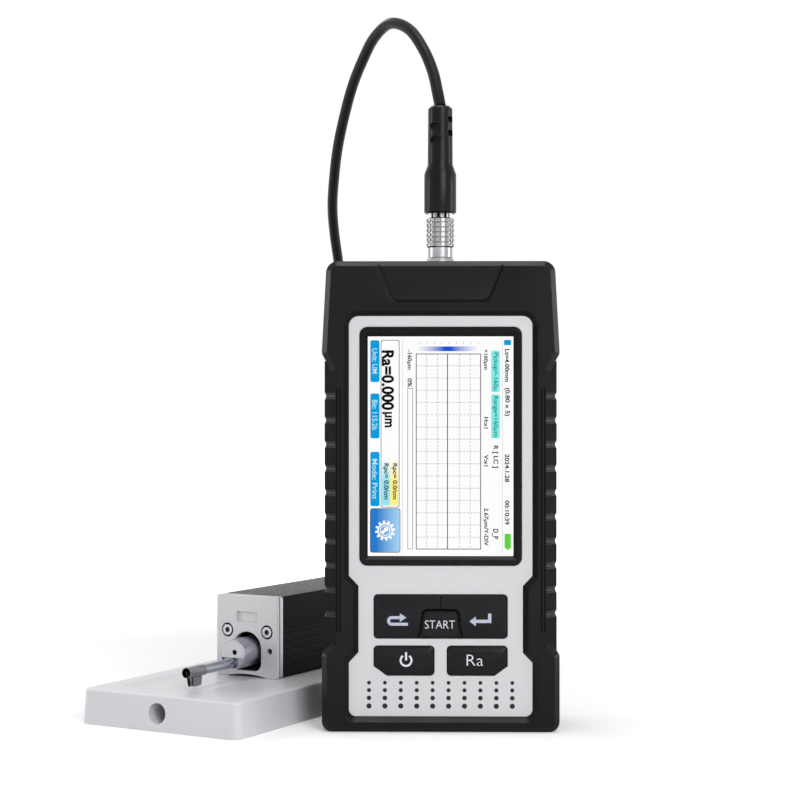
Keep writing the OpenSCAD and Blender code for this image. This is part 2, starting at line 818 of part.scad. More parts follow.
// Push-pull sleeve: ring grooves and lengthwise grooves make the square knurl
module release_sleeve() {
    r = knurl_d/2;
    color([0.62, 0.62, 0.64]) difference() {
        rotate_extrude() difference() {
            union() {
                translate([0, sleeve_z]) square([sleeve_d/2, knurl_z - sleeve_z]);
                polygon([[0, knurl_z], [r - 0.4, knurl_z], [r, knurl_z + 0.4], [r, knurl_z + knurl_l - 0.4],
                    [r - 0.4, knurl_z + knurl_l], [0, knurl_z + knurl_l]]);
            }
            translate([0, sleeve_z - 1]) square([plug_d/2 + 0.3, knurl_l + 8]);
            for (i = [1:5]) translate([r - 0.4, knurl_z + i*knurl_l/6 - 0.3]) square([1, 0.6]);
        }
        for (i = [0:15]) rotate([0, 0, 22.5*i]) translate([r - 0.4, -0.3, knurl_z + 0.6])
            cube([1, 0.6, knurl_l - 1.2]);
    }
}

module plug_collet() {
    color([0.3, 0.3, 0.32]) translate([0, 0, relief_z]) difference() {
        cylinder(r = collet_r, h = collet_l);
        translate([0, 0, -1]) cylinder(r = plug_d/2, h = collet_l + 2);
    }
}

// Moulded bend relief with staggered slots towards its tip
module bend_relief() {
    r1 = relief_d/2;
    r2 = relief_tip_d/2;
    color([0.2, 0.2, 0.22]) difference() {
        rotate_extrude() difference() {
            polygon([[0, relief_z], [r1 - 0.5, relief_z], [r1, relief_z + 0.5],
                [r1, relief_z + relief_wide_l], [r2 + 0.15, relief_z + relief_wide_l + relief_neck],
                [r2, relief_end - 0.9], [r2 - 0.9, relief_end], [0, relief_end]]);
            translate([0, relief_z - 1]) square([collet_r, collet_l + 1]);
        }
        for (i = [0:1], k = [0:3]) rotate([0, 0, 90*k - 27])
            translate([r2 - 1.3, 0, relief_end - 4.7 - 4.7*i - 2.4*(k % 2)]) rotate([0, 90, 0]) {
                translate([-1, -0.9, 0]) cube([2, 1.8, 4]);
                for (sy = [-1, 1]) translate([0, 0.9*sy, 0]) cylinder(r = 1, h = 4);
            }
    }
}

function unit(v) = v/norm(v);

// Point on a smooth curve through the route between points i and i + 1
function curve(p, i, t) = let (
    a = p[max(i - 1, 0)],
    b = p[i],
    c = p[i + 1],
    d = p[min(i + 2, len(p) - 1)])
    0.5*(2*b + (c - a)*t + (2*a - 5*b + 4*c - d)*t*t + (3*b - a - 3*c + d)*t*t*t);

function path(p, n) = [for (i = [0:len(p) - 2], k = [0:n - 1]) curve(p, i, k/n), p[len(p) - 1]];

// Direction of the path at ring i, the ends keep the given directions
function heading(q, i, d0, d1) = i == 0 ? d0 : i == len(q) - 1 ? d1 : unit(q[i + 1] - q[i - 1]);

// Round tube along a path, its rings turned from the reference direction
module tube(q, d0, d1, ref) {
    n = len(q);
    rings = [for (i = [0:n - 1]) let (
        t = heading(q, i, d0, d1),
        e = unit(cross(t, ref)),
        f = cross(t, e))
        for (k = [0:sides - 1]) q[i] + cord_r*(cos(360*k/sides)*e + sin(360*k/sides)*f)];
    walls = [for (i = [0:n - 2], k = [0:sides - 1]) let (
        a = i*sides + k,
        b = i*sides + (k + 1) % sides)
        for (f = [[a, b, b + sides], [a, b + sides, a + sides]]) f];
    caps = [[for (k = [sides - 1:-1:0]) k], [for (k = [0:sides - 1]) (n - 1)*sides + k]];
    polyhedron(points = rings, faces = concat(walls, caps));
}

module lead_rise() {
    color([0.17, 0.17, 0.18]) tube(path(lead_route, 3), [0, 0, 1], [0, 1, 0], side);
}

module lead_tail() {
    color([0.17, 0.17, 0.18]) tube(path(tail_route, 3), back, back, [0, 0, 1]);
}

module lead_coil() {
    color([0.17, 0.17, 0.18]) translate(coil_c) rotate_extrude()
        translate([coil_r - cord_r, 0]) square([lead_cord_d, 4*coil_pitch]);
}

module coil_tie() {
    color([0.1, 0.1, 0.1]) translate(coil_c) rotate([0, 0, 70]) rotate_extrude(angle = 12)
        difference() {
            translate([coil_r - cord_r - 0.8, 0]) square([lead_cord_d + 1.6, 4*coil_pitch + 0.8]);
            translate([coil_r - cord_r, -1]) square([lead_cord_d, 4*coil_pitch + 1]);
        }
}

module driver_gland() {
    color([0.12, 0.12, 0.13]) in_driver() translate([0, 0, gland_z]) rotate([-90, 0, 0]) rotate_extrude()
        polygon([[0, shell_end + 0.2], [gland_r, shell_end + 0.2], [gland_r, rear_end], [4.6, rear_end],
            [4.6, rear_end + 1.6], [4, rear_end + 2.2], [cord_r + 0.8, gland_end], [0, gland_end]]);
}

// Outline shared by the housing and its end plates, the bottom relieved by a shallow arch
module drive_outline(in = 0) {
    difference() {
        translate([0, drive_h/2]) soft_square(drive_w - 2*in, drive_h - 2*in, 0.8 - in);
        translate([0, arch_h - arch_r]) circle(r = arch_r, $fn = 128);
    }
}

module driver_housing() {
    color([0.1, 0.1, 0.11]) in_driver() difference() {
        union() {
            slab(shell_y, shell_end) difference() {
                drive_outline();
                translate([-cave_w/2, floor_z]) square([cave_w, roof_z - floor_z]);
                for (s = [-1, 1], i = [0:4]) translate([s*drive_w/2 - 0.5, 4.2 + 2.9*i]) square([1, 1.3]);
            }
            for (s = [-1, 1], y = [shell_y, shell_end - boss_l])
                bar(s*screw_p, screw_h, boss_r + 0.2, y, y + boss_l);
        }
        for (s = [-1, 1], y = [shell_y - 1, shell_end - boss_l - 1])
            bar(s*screw_p, screw_h, small_screw_r + run, y, y + boss_l + 2);
    }
}

// Arched opening for the pickup
module pickup_opening() {
    translate([0, pickup_z + 1]) circle(r = 6.1);
    translate([-6.1, 5.2]) square([12.2, pickup_z - 4.2]);
    translate([-3.1, 2.2]) square([6.2, 4]);
    translate([-3.1, 5.2]) circle(r = 3);
    translate([3.1, 5.2]) circle(r = 3);
}

module front_plate() {
    color([0.8, 0.8, 0.82]) in_driver() difference() {
        slab(0, plate_t) difference() {
            drive_outline();
            pickup_opening();
        }
        slab(-1, 0.8) translate([-4.3, 19.7]) square([8.6, 3.7]);
        for (s = [-1, 1]) {
            bar(s*screw_p, screw_h, 2.55, -1, plate_t + 1);
            bar(s*9.7, 9.7, side_hole_r, -1, plate_t + 1);
        }
    }
}

module front_spacer() {
    color([0.55, 0.55, 0.57]) in_driver() difference() {
        difference() {
            union() {
                slab(plate_t, shell_y) drive_outline(0.4);
                slab(plate_t + 0.5, shell_y) drive_outline();
            }
            slab(plate_t - 1, shell_y + 1) pickup_opening();
        }
        for (s = [-1, 1]) {
            bar(s*9.7, 9.7, side_hole_r + 0.2, plate_t - 1, shell_y + 1);
            bar(s*screw_p, screw_h, small_screw_r + run, 0, shell_y + 1);
            bar(s*rod_p, drive_axis, rod_d/2 + run, plate_t + 0.4, shell_y + 1);
        }
        bar(0, drive_axis, bush_r + run, plate_t + 0.4, shell_y + 1);
    }
}

// Socket-head screw with its head seated at y0, pointing to +Y
module cap_screw(x, z, y0, head, length) {
    difference() {
        bar(x, z, small_head_r, y0 - head, y0);
        translate([x, y0 - head - 1, z]) rotate([-90, 0, 0]) cylinder(r = 0.95, h = 1 + head*0.6, $fn = 6);
    }
    bar(x, z, small_screw_r, y0 - 0.2, y0 + length);
}

module front_screws() {
    color([0.75, 0.75, 0.77]) in_driver() for (s = [-1, 1])
        cap_screw(s*screw_p, screw_h, plate_t, plate_t - 0.1, spacer_t + boss_l - 2);
}

module rear_plate() {
    color([0.12, 0.12, 0.13]) in_driver() difference() {
        slab(shell_end, rear_end) drive_outline();
        for (s = [-1, 1]) bar(s*screw_p, screw_h, small_screw_r + run, shell_end - 1, rear_end + 1);
        bar(0, gland_z, gland_r, shell_end - 1, rear_end + 1);
    }
}

module rear_screws() {
    color([0.6, 0.6, 0.62]) in_driver() for (s = [-1, 1])
        translate([0, 2*rear_end, 0]) scale([1, -1, 1])
            cap_screw(s*screw_p, screw_h, rear_end, 1.4, rear_t + boss_l - 2);
}

module guide_rods() {
    color([0.75, 0.75, 0.77]) in_driver() for (s = [-1, 1])
        bar(s*rod_p, drive_axis, rod_d/2, plate_t + 0.4, bracket_y + bracket_t);
}

module screw_bush() {
    color([0.7, 0.55, 0.3]) in_driver() difference() {
        bar(0, drive_axis, bush_r, plate_t + 0.4, shell_y + 1);
        bar(0, drive_axis, lead_d/2 + run, plate_t, shell_y + 2);
    }
}

// Lead screw with the coupling hub and shaft at its motor end
module lead_screw() {
    color([0.7, 0.7, 0.72]) in_driver() {
        bar(0, drive_axis, lead_d/2, plate_t + 0.6, bracket_y - 0.4);
        bar(0, drive_axis, hub_r, bracket_y - 5.4, bracket_y - 0.4);
        bar(0, drive_axis, 1, bracket_y - 1, motor_y + 4);
    }
}

module carriage() {
    color([0.5, 0.5, 0.52]) in_driver() difference() {
        slab(carriage_y, carriage_y + carriage_l) translate([0, (floor_z + 0.7 + roof_z - 1.4)/2])
            soft_square(cave_w - 3, roof_z - 1.4 - floor_z - 0.7, 1);
        bar(0, pickup_z, pickup_d/2, carriage_y - 1, pickup_back);
        for (s = [-1, 1])
            bar(s*rod_p, drive_axis, rod_d/2 + run, carriage_y - 1, carriage_y + carriage_l + 1);
        bar(0, drive_axis, nut_r, carriage_y - 1, carriage_y + carriage_l + 1);
    }
}

module lead_nut() {
    color([0.75, 0.6, 0.3]) in_driver() difference() {
        bar(0, drive_axis, nut_r, carriage_y, carriage_y + carriage_l);
        bar(0, drive_axis, lead_d/2 + run, carriage_y - 1, carriage_y + carriage_l + 1);
    }
}

module motor_bracket() {
    color([0.5, 0.5, 0.52]) in_driver() difference() {
        slab(bracket_y, motor_y) translate([-cave_w/2, floor_z]) square([cave_w, roof_z - floor_z]);
        for (s = [-1, 1]) bar(s*rod_p, drive_axis, rod_d/2, bracket_y - 1, motor_y + 1);
        bar(0, drive_axis, 1.6, bracket_y - 1, motor_y + 1);
    }
}

module gear_motor() {
    color([0.65, 0.63, 0.55]) in_driver() difference() {
        union() {
            translate([-motor_w/2, motor_y, drive_axis - motor_h/2]) cube([motor_w, gearbox_l, motor_h]);
            intersection() {
                bar(0, drive_axis, motor_w/2, motor_y, motor_y + motor_l);
                translate([-motor_w, motor_y, drive_axis - motor_h/2])
                    cube([2*motor_w, motor_l + 1, motor_h]);
            }
        }
        bar(0, drive_axis, 1 + run, motor_y - 1, motor_y + 5);
    }
}

module pickup_sleeve() {
    color([0.63, 0.62, 0.66]) in_driver() difference() {
        bar(0, pickup_z, pickup_d/2, -pickup_out, pickup_back);
        bar(0, pickup_z, core_r, -pickup_out - 1, pickup_back + 1);
    }
}

// Core: flush upper half at the front, the lower half set back round the stylus tube
module pickup_core() {
    color([0.7, 0.7, 0.72]) in_driver() difference() {
        bar(0, pickup_z, core_r, -pickup_out, pickup_back);
        translate([-core_r - 1, -pickup_out - 1, pickup_z - core_r - 1])
            cube([2*core_r + 2, 1 + core_step, core_r - 0.2]);
        bar(1, pickup_z + 0.8, core_hole_r, -pickup_out - 1, -pickup_out + 5);
        bar(0, tube_z, tube_d/2, -pickup_out - 1, pivot_y + 3);
    }
}

// Slot under the nose for the stylus tip
module tip_slot() {
    translate([-slot_w/2, -nose_out - 1, -1]) cube([slot_w, slot_l + 1, tube_z + 1]);
}

module stylus_tube() {
    color([0.5, 0.5, 0.53]) in_driver() difference() {
        bar(0, tube_z, tube_d/2, -nose_out + 0.6, pivot_y + 3);
        bar(0, tube_z, tube_d/2 - 0.45, -nose_out - 1, pivot_y + 1.5);
        tip_slot();
    }
}

module tube_nose() {
    color([0.6, 0.6, 0.63]) in_driver() difference() {
        bar(0, tube_z, nose_r, -nose_out, -nose_out + nose_l);
        bar(0, tube_z, tube_d/2, -nose_out - 1, -nose_out + nose_l + 1);
        tip_slot();
    }
}

// Skid block under the nose, behind the stylus
module skid() {
    y0 = -nose_out + slot_l;
    color([0.72, 0.72, 0.74]) in_driver() difference() {
        translate([-skid_t/2, 0, 0]) rotate([90, 0, 90]) linear_extrude(height = skid_t)
            polygon([[y0, tube_z - 1], [y0 + 5.2, tube_z - 1], [y0 + 5.2, tube_z - nose_r - 0.4],
                [y0 + 4.8, skid_gap + 0.4], [y0 + 4.4, skid_gap], [y0 + 0.6, skid_gap],
                [y0 + 0.2, skid_gap + 0.4], [y0, tube_z - nose_r - 0.4]]);
        bar(0, tube_z, nose_r, y0 - 1, y0 + 7);
    }
}

// Stylus lever on its pivot pin, with the leaning arm and cone tip in front of the skid
module stylus_lever() {
    arm = (tube_z - skid_gap + 0.1)/cos(tip_lean);
    color([0.25, 0.25, 0.27]) in_driver() {
        bar(0, tube_z, lever_r, tip_y - 0.4, pivot_y);
        translate([-0.8, pivot_y, tube_z]) rotate([0, 90, 0]) cylinder(r = 0.7, h = 1.6);
        translate([0, tip_y, tube_z]) rotate([180 + tip_lean, 0, 0]) {
            cylinder(r = tip_r, h = arm - 0.9);
            translate([0, 0, arm - 0.9]) cylinder(r1 = tip_r, r2 = 0.05, h = 0.9);
        }
    }
}

// Edge profile of the base: drafted side, rounded top edge
module base_profile(half) {
    f = base_edge;
    top = half - base_draft;
    polygon([[-half, 0], [half, 0], [top, base_h - f], [top - f, base_h], [-top + f, base_h],
        [-top, base_h - f]]);
    translate([top - f, base_h - f]) circle(r = f);
    translate([-top + f, base_h - f]) circle(r = f);
}

module base_body() {
    wx = base_w/2 - base_r;
    ly = base_l - 2*base_r;
    translate([0, base_r, 0]) slab(0, ly) base_profile(base_w/2);
    translate([-wx, base_l/2, 0]) rotate([90, 0, 90]) linear_extrude(height = 2*wx) base_profile(base_l/2);
    for (s = [-1, 1], y = [base_r, base_l - base_r]) translate([s*wx, y, 0]) rotate_extrude()
        intersection() {
            base_profile(base_r);
            square([base_r, base_h]);
        }
}

// Shallow bed with sloped walls at its sides and front
module bed() {
    x0 = bed_w/2;
    x1 = x0 + bed_run;
    intersection() {
        slab(0, 2*base_l) polygon([[-x0, base_top], [x0, base_top], [x1, base_h], [x1, base_h + 1],
            [-x1, base_h + 1], [-x1, base_h]]);
        translate([-base_w, 0, 0]) rotate([90, 0, 90]) linear_extrude(height = 2*base_w)
            polygon([[bed_y + bed_run, base_top], [2*base_l, base_top], [2*base_l, base_h + 1],
                [bed_y, base_h + 1], [bed_y, base_h]]);
    }
}

module base_plate() {
    color([0.86, 0.86, 0.88]) on_base() difference() {
        base_body();
        bed();
        bar(0, base_h/2, base_hole_d/2, -1, base_hole_l);
    }
}

rubber_boot();
rear_case();
front_panel();
screen_bezel();
screen_lens();
display_module();
main_board();
key_guide();
return_key();
enter_key();
start_key();
power_key();
parameter_key();
battery_pack();
buzzer();
case_screws();
socket_shell();
socket_nut();
plug_shell();
release_sleeve();
plug_collet();
bend_relief();
lead_rise();
lead_coil();
lead_tail();
coil_tie();
driver_gland();
driver_housing();
front_plate();
front_spacer();
front_screws();
rear_plate();
rear_screws();
guide_rods();
screw_bush();
lead_screw();
carriage();
lead_nut();
motor_bracket();
gear_motor();
pickup_sleeve();
pickup_core();
stylus_tube();
tube_nose();
skid();
stylus_lever();
base_plate();
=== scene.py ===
"""Looks of a surface roughness tester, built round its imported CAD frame. Metres, the screen faces -Y."""

import json
import math

import bmesh
import bpy
import numpy as np
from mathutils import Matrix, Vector

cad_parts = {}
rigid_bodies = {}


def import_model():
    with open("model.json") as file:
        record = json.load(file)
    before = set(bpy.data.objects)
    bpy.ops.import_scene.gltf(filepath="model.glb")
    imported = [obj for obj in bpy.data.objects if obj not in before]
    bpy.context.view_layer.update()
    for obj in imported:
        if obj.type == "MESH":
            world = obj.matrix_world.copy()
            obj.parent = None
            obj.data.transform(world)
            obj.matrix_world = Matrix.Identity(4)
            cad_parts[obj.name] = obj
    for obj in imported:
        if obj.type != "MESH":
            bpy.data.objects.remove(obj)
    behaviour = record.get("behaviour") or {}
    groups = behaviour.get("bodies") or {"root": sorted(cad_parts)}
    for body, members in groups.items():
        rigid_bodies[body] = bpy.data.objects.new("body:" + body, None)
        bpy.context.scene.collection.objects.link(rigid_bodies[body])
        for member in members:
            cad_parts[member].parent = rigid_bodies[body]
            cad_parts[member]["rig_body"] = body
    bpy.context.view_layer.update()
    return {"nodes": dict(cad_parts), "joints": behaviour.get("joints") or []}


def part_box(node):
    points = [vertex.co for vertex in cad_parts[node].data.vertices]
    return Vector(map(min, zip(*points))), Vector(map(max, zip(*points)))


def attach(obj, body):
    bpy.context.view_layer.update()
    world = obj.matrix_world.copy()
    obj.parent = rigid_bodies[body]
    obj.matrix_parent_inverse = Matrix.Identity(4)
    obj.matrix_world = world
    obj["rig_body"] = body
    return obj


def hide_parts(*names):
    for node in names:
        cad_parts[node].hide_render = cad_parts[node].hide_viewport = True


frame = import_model()
NODES = frame["nodes"]
JOINTS = {joint["name"]: joint for joint in frame["joints"]}
scene = bpy.context.scene
MM = 0.001
RIGHT, UP = Vector((1.0, 0.0, 0.0)), Vector((0.0, 0.0, 1.0))

# Directions of the driver: towards its lead, and to its right
BACK = Vector(JOINTS["traverse"]["axis"])
SIDE = Vector((BACK.y, -BACK.x, 0.0))
DRIVE_TURN = math.atan2(BACK.x, BACK.y)

# Camera, fitted to points measured in the photograph
CAMERA_AT = Vector((-0.0045, -0.6171, 0.1111))
CAMERA_TURN = math.radians(0.865)
CAMERA_LENS = 80.9
SENSOR = 36.0
CLIP_NEAR, CLIP_FAR = 0.01, 50.0
camera = bpy.data.objects.new("camera", bpy.data.cameras.new("camera"))
scene.collection.objects.link(camera)
camera.data.sensor_width = SENSOR
camera.data.lens = CAMERA_LENS
camera.data.clip_start, camera.data.clip_end = CLIP_NEAR, CLIP_FAR
camera.location = CAMERA_AT
camera.rotation_euler = (math.pi / 2, 0.0, CAMERA_TURN)
scene.camera = camera


def rgb(red, green, blue):
    """Screen colour, 0 to 255, as linear light."""
    return tuple(((c / 255 + 0.055) / 1.055) ** 2.4 for c in (red, green, blue))


BLACK, WHITE = (0.0, 0.0, 0.0), (1.0, 1.0, 1.0)


class Value:
    """One output in a node tree. Arithmetic on it adds Math nodes, so a finish reads as a formula."""

    def __init__(self, nodes, socket):
        self.nodes, self.socket = nodes, socket

    def math(self, operation, *others):
        return self.nodes.node("ShaderNodeMath", {"operation": operation}, dict(enumerate((self, *others))))

    def __add__(self, other):
        return self.math("ADD", other)

    def __mul__(self, other):
        return self.math("MULTIPLY", other)

    def __sub__(self, other):
        return self.math("SUBTRACT", other)

    def __rsub__(self, other):
        return self * -1.0 + other

    def __gt__(self, other):
        return self.math("GREATER_THAN", other)

    def __lt__(self, other):
        return self.math("LESS_THAN", other)

    def __or__(self, other):
        return self.math("MAXIMUM", other)

    __radd__, __rmul__, __ror__ = __add__, __mul__, __or__


class Nodes:
    """A node tree, and the one way in which nodes are added to it."""

    def __init__(self, tree):
        self.tree = tree

    def node(self, kind, settings=None, sockets=None, out=0):
        """Adds a node: its settings first, then the values or links of its sockets. Gives one output."""
        made = self.tree.nodes.new(kind)
        for key, value in (settings or {}).items():
            setattr(made, key, value)
        for key, value in (sockets or {}).items():
            self.plug(made.inputs[key], value)
        return Value(self, made.outputs[out])

    def plug(self, socket, value):
        """Links an output to a socket, or sets a plain number or colour on it."""
        if isinstance(value, Value):
            self.tree.links.new(value.socket, socket)
        else:
            socket.default_value = value

    def seen(self):
        """1 for what the camera, a reflection or glass shows, 0 for the light that falls on things."""
        kinds = ("Is Camera Ray", "Is Glossy Ray", "Is Transmission Ray")
        straight, mirrored, through = (self.node("ShaderNodeLightPath", out=kind) for kind in kinds)
        return straight + mirrored + through


class Finish(Nodes):
    """A material: a Principled shader with fixed settings, and the nodes that vary it over the surface."""

    def __init__(self, name, colour, roughness, metallic=0.0, specular=0.5, alpha=1.0, glow=0.0):
        self.material = bpy.data.materials.new(name)
        self.material.use_nodes = True
        super().__init__(self.material.node_tree)
        self.shader = self.tree.nodes["Principled BSDF"]
        self.colour = (*colour, 1.0)
        self.feed("Base Color", self.colour)
        self.feed("Roughness", roughness)
        self.feed("Metallic", metallic)
        self.feed("Specular IOR Level", specular)
        self.feed("Alpha", alpha)
        self.feed("Emission Strength", glow)

    def feed(self, socket, value):
        """Sets or links one of the shader's sockets."""
        self.plug(self.shader.inputs[socket], value)
        return self

    def place(self, scale=(1.0, 1.0, 1.0), turn=0.0):
        """Object coordinates, turned about the vertical and stretched."""
        spot = self.node("ShaderNodeTexCoord", out="Object")
        sockets = {"Vector": spot, "Rotation": (0.0, 0.0, turn), "Scale": scale}
        return self.node("ShaderNodeMapping", None, sockets)

    def along(self, axis):
        """One of the object coordinates X, Y and Z."""
        return self.node("ShaderNodeSeparateXYZ", None, {"Vector": self.place()}, out=axis)

    def noise(self, scale, detail, roughness=0.5, place=None):
        """Noise of a scale, on the plain object coordinates or on others."""
        sockets = {"Vector": place or self.place(), "Scale": scale, "Detail": detail, "Roughness": roughness}
        return self.node("ShaderNodeTexNoise", None, sockets)

    def mix(self, factor, a, b):
        """Colour a where the factor is 0, colour b where it is 1."""
        return self.node("ShaderNodeMix", {"data_type": "RGBA"}, {0: factor, 6: a, 7: b}, out=2)

    def vector(self, operation, *values, out=0):
        """Vector Math on the given vectors."""
        return self.node("ShaderNodeVectorMath", {"operation": operation}, dict(enumerate(values)), out)

    def radius(self, at, axis):
        """Distance from an axis line: the offset from a point on it, crossed with its direction."""
        offset = self.vector("SUBTRACT", self.place(), tuple(at))
        return self.vector("LENGTH", self.vector("CROSS_PRODUCT", offset, tuple(axis)), out="Value")

    def reach(self, at, axis):
        """Distance along an axis line from a point on it: the offset's dot product with its direction."""
        offset = self.vector("SUBTRACT", self.place(), tuple(at))
        return self.vector("DOT_PRODUCT", offset, tuple(axis), out="Value")

    def ramp(self, value, low, high):
        """0 at the low value, 1 at the high one."""
        return self.node("ShaderNodeMapRange", None, {0: value, 1: low, 2: high})

    def shade(self, mask, other):
        """Base colour drifts to another colour where the mask is high."""
        return self.feed("Base Color", self.mix(mask, self.colour, (*other, 1.0)))

    def paint_shade(self, keep, tone):
        """Painted shade: base colour goes to a dark tone where the factor is 0."""
        was = Value(self, self.shader.inputs["Base Color"].links[0].from_socket)
        return self.feed("Base Color", self.mix(keep, (tone, tone, tone, 1.0), was))

    def bump(self, height, depth, edge):
        """Relief of the given depth in metres, on edges that catch the light as if rounded."""
        rounded = self.node("ShaderNodeBevel", {"samples": EDGE_SAMPLES}, {"Radius": edge})
        sockets = {"Height": height, "Distance": depth, "Normal": rounded}
        return self.feed("Normal", self.node("ShaderNodeBump", None, sockets))


# Rounding of edges in the shading: mouldings, and machined metal
SOFT_EDGE, KEEN_EDGE = 0.4 * MM, 0.12 * MM
EDGE_SAMPLES = 6

# Patches and grain of mouldings: lumps to the metre, and how far they move the tone and the gloss
PATCH_SCALE, PATCH_DETAIL, PATCH_TONE, PATCH_GLOSS = 60.0, 4.0, 0.6, 0.12
GRAIN_DETAIL, GRAIN_TONE = 2.0, 0.25

# Streaks and stains of machined metal, in the same way
STREAK_DETAIL, STREAK_ROUGHNESS, STREAK_TONE, STREAK_GLOSS = 3.0, 0.6, 0.5, 0.16
STAIN_SCALE, STAIN_DETAIL, STAIN_TONE, STAIN_GLOSS = 90.0, 3.0, 0.3, 0.08
STREAK_DEPTH = 0.01 * MM

# The lens, and the lit display behind it
LENS_TINT, LENS_ALPHA = (0.01, 0.01, 0.012), 0.05
SMEAR_SCALE, SMEAR_DETAIL, SMEAR_GLOSS, LENS_ROUGHNESS = 40.0, 4.0, 0.05, 0.045
GLOW = 1.05
UNEVEN_SCALE, UNEVEN_DETAIL, UNEVEN_TONE = 25.0, 1.0, 0.96


def moulded(name, dark, light, roughness, grain, depth, specular=0.5):
    """Moulded plastic or rubber: patches and grain run the tone from dark to light, patches run the gloss,
    and grain is the relief, its depth in millimetres."""
    f = Finish(name, dark, roughness, specular=specular)
    patches = f.noise(PATCH_SCALE, PATCH_DETAIL)
    fine = f.noise(grain, GRAIN_DETAIL)
    f.shade(patches * PATCH_TONE + fine * GRAIN_TONE, light)
    f.feed("Roughness", roughness + (patches - 0.5) * PATCH_GLOSS)
    return f.bump(fine, depth * MM, SOFT_EDGE)


def brushed(name, dark, light, roughness, along, across, turn=0.0, metallic=1.0, specular=0.5):
    """Machined metal: stretched noise makes streaks in tone, gloss and relief, with stains over them."""
    f = Finish(name, dark, roughness, metallic, specular)
    streaks = f.noise(1.0, STREAK_DETAIL, STREAK_ROUGHNESS, f.place((along, across, across), turn))
    stains = f.noise(STAIN_SCALE, STAIN_DETAIL)
    f.shade(streaks * STREAK_TONE + stains * STAIN_TONE, light)
    f.feed("Roughness", roughness + (streaks - 0.5) * STREAK_GLOSS + (stains - 0.5) * STAIN_GLOSS)
    return f.bump(streaks, STREAK_DEPTH, KEEN_EDGE)


def clear(name):
    """Clear lens: nearly all see-through, the rest is its gloss with faint smears."""
    f = Finish(name, LENS_TINT, LENS_ROUGHNESS, alpha=LENS_ALPHA)
    f.feed("Roughness", LENS_ROUGHNESS + (f.noise(SMEAR_SCALE, SMEAR_DETAIL) - 0.5) * SMEAR_GLOSS)
    f.material.surface_render_method = "BLENDED"
    return f


def lit(name, colour, other=None, axis="Z", span=None):
    """Lit field of the display: its colour as emission, faintly uneven, or a blend of two along an axis."""
    f = Finish(name, BLACK, 0.5, specular=0.0, glow=GLOW)
    if other is None:
        other, mask = tuple(c * UNEVEN_TONE for c in colour), f.noise(UNEVEN_SCALE, UNEVEN_DETAIL)
    else:
        mask = f.ramp(f.along(axis), *span)
    return f.feed("Emission Color", f.mix(mask, (*colour, 1.0), (*other, 1.0)))


# Where the display's colours blend, as places in the scene
STRIP_SPAN = (0.0835, 0.0925)
TILE_SPAN = (-0.0215, -0.0145)
SCALE_LOW_SPAN, SCALE_HIGH_SPAN = (-0.0082, 0.0012), (0.0036, 0.013)
SCALE_BLUE = rgb(16, 84, 205)

# Dark and light tone of the bright alloy, which two finishes share
ALLOY = rgb(186, 186, 188), rgb(198, 198, 200)

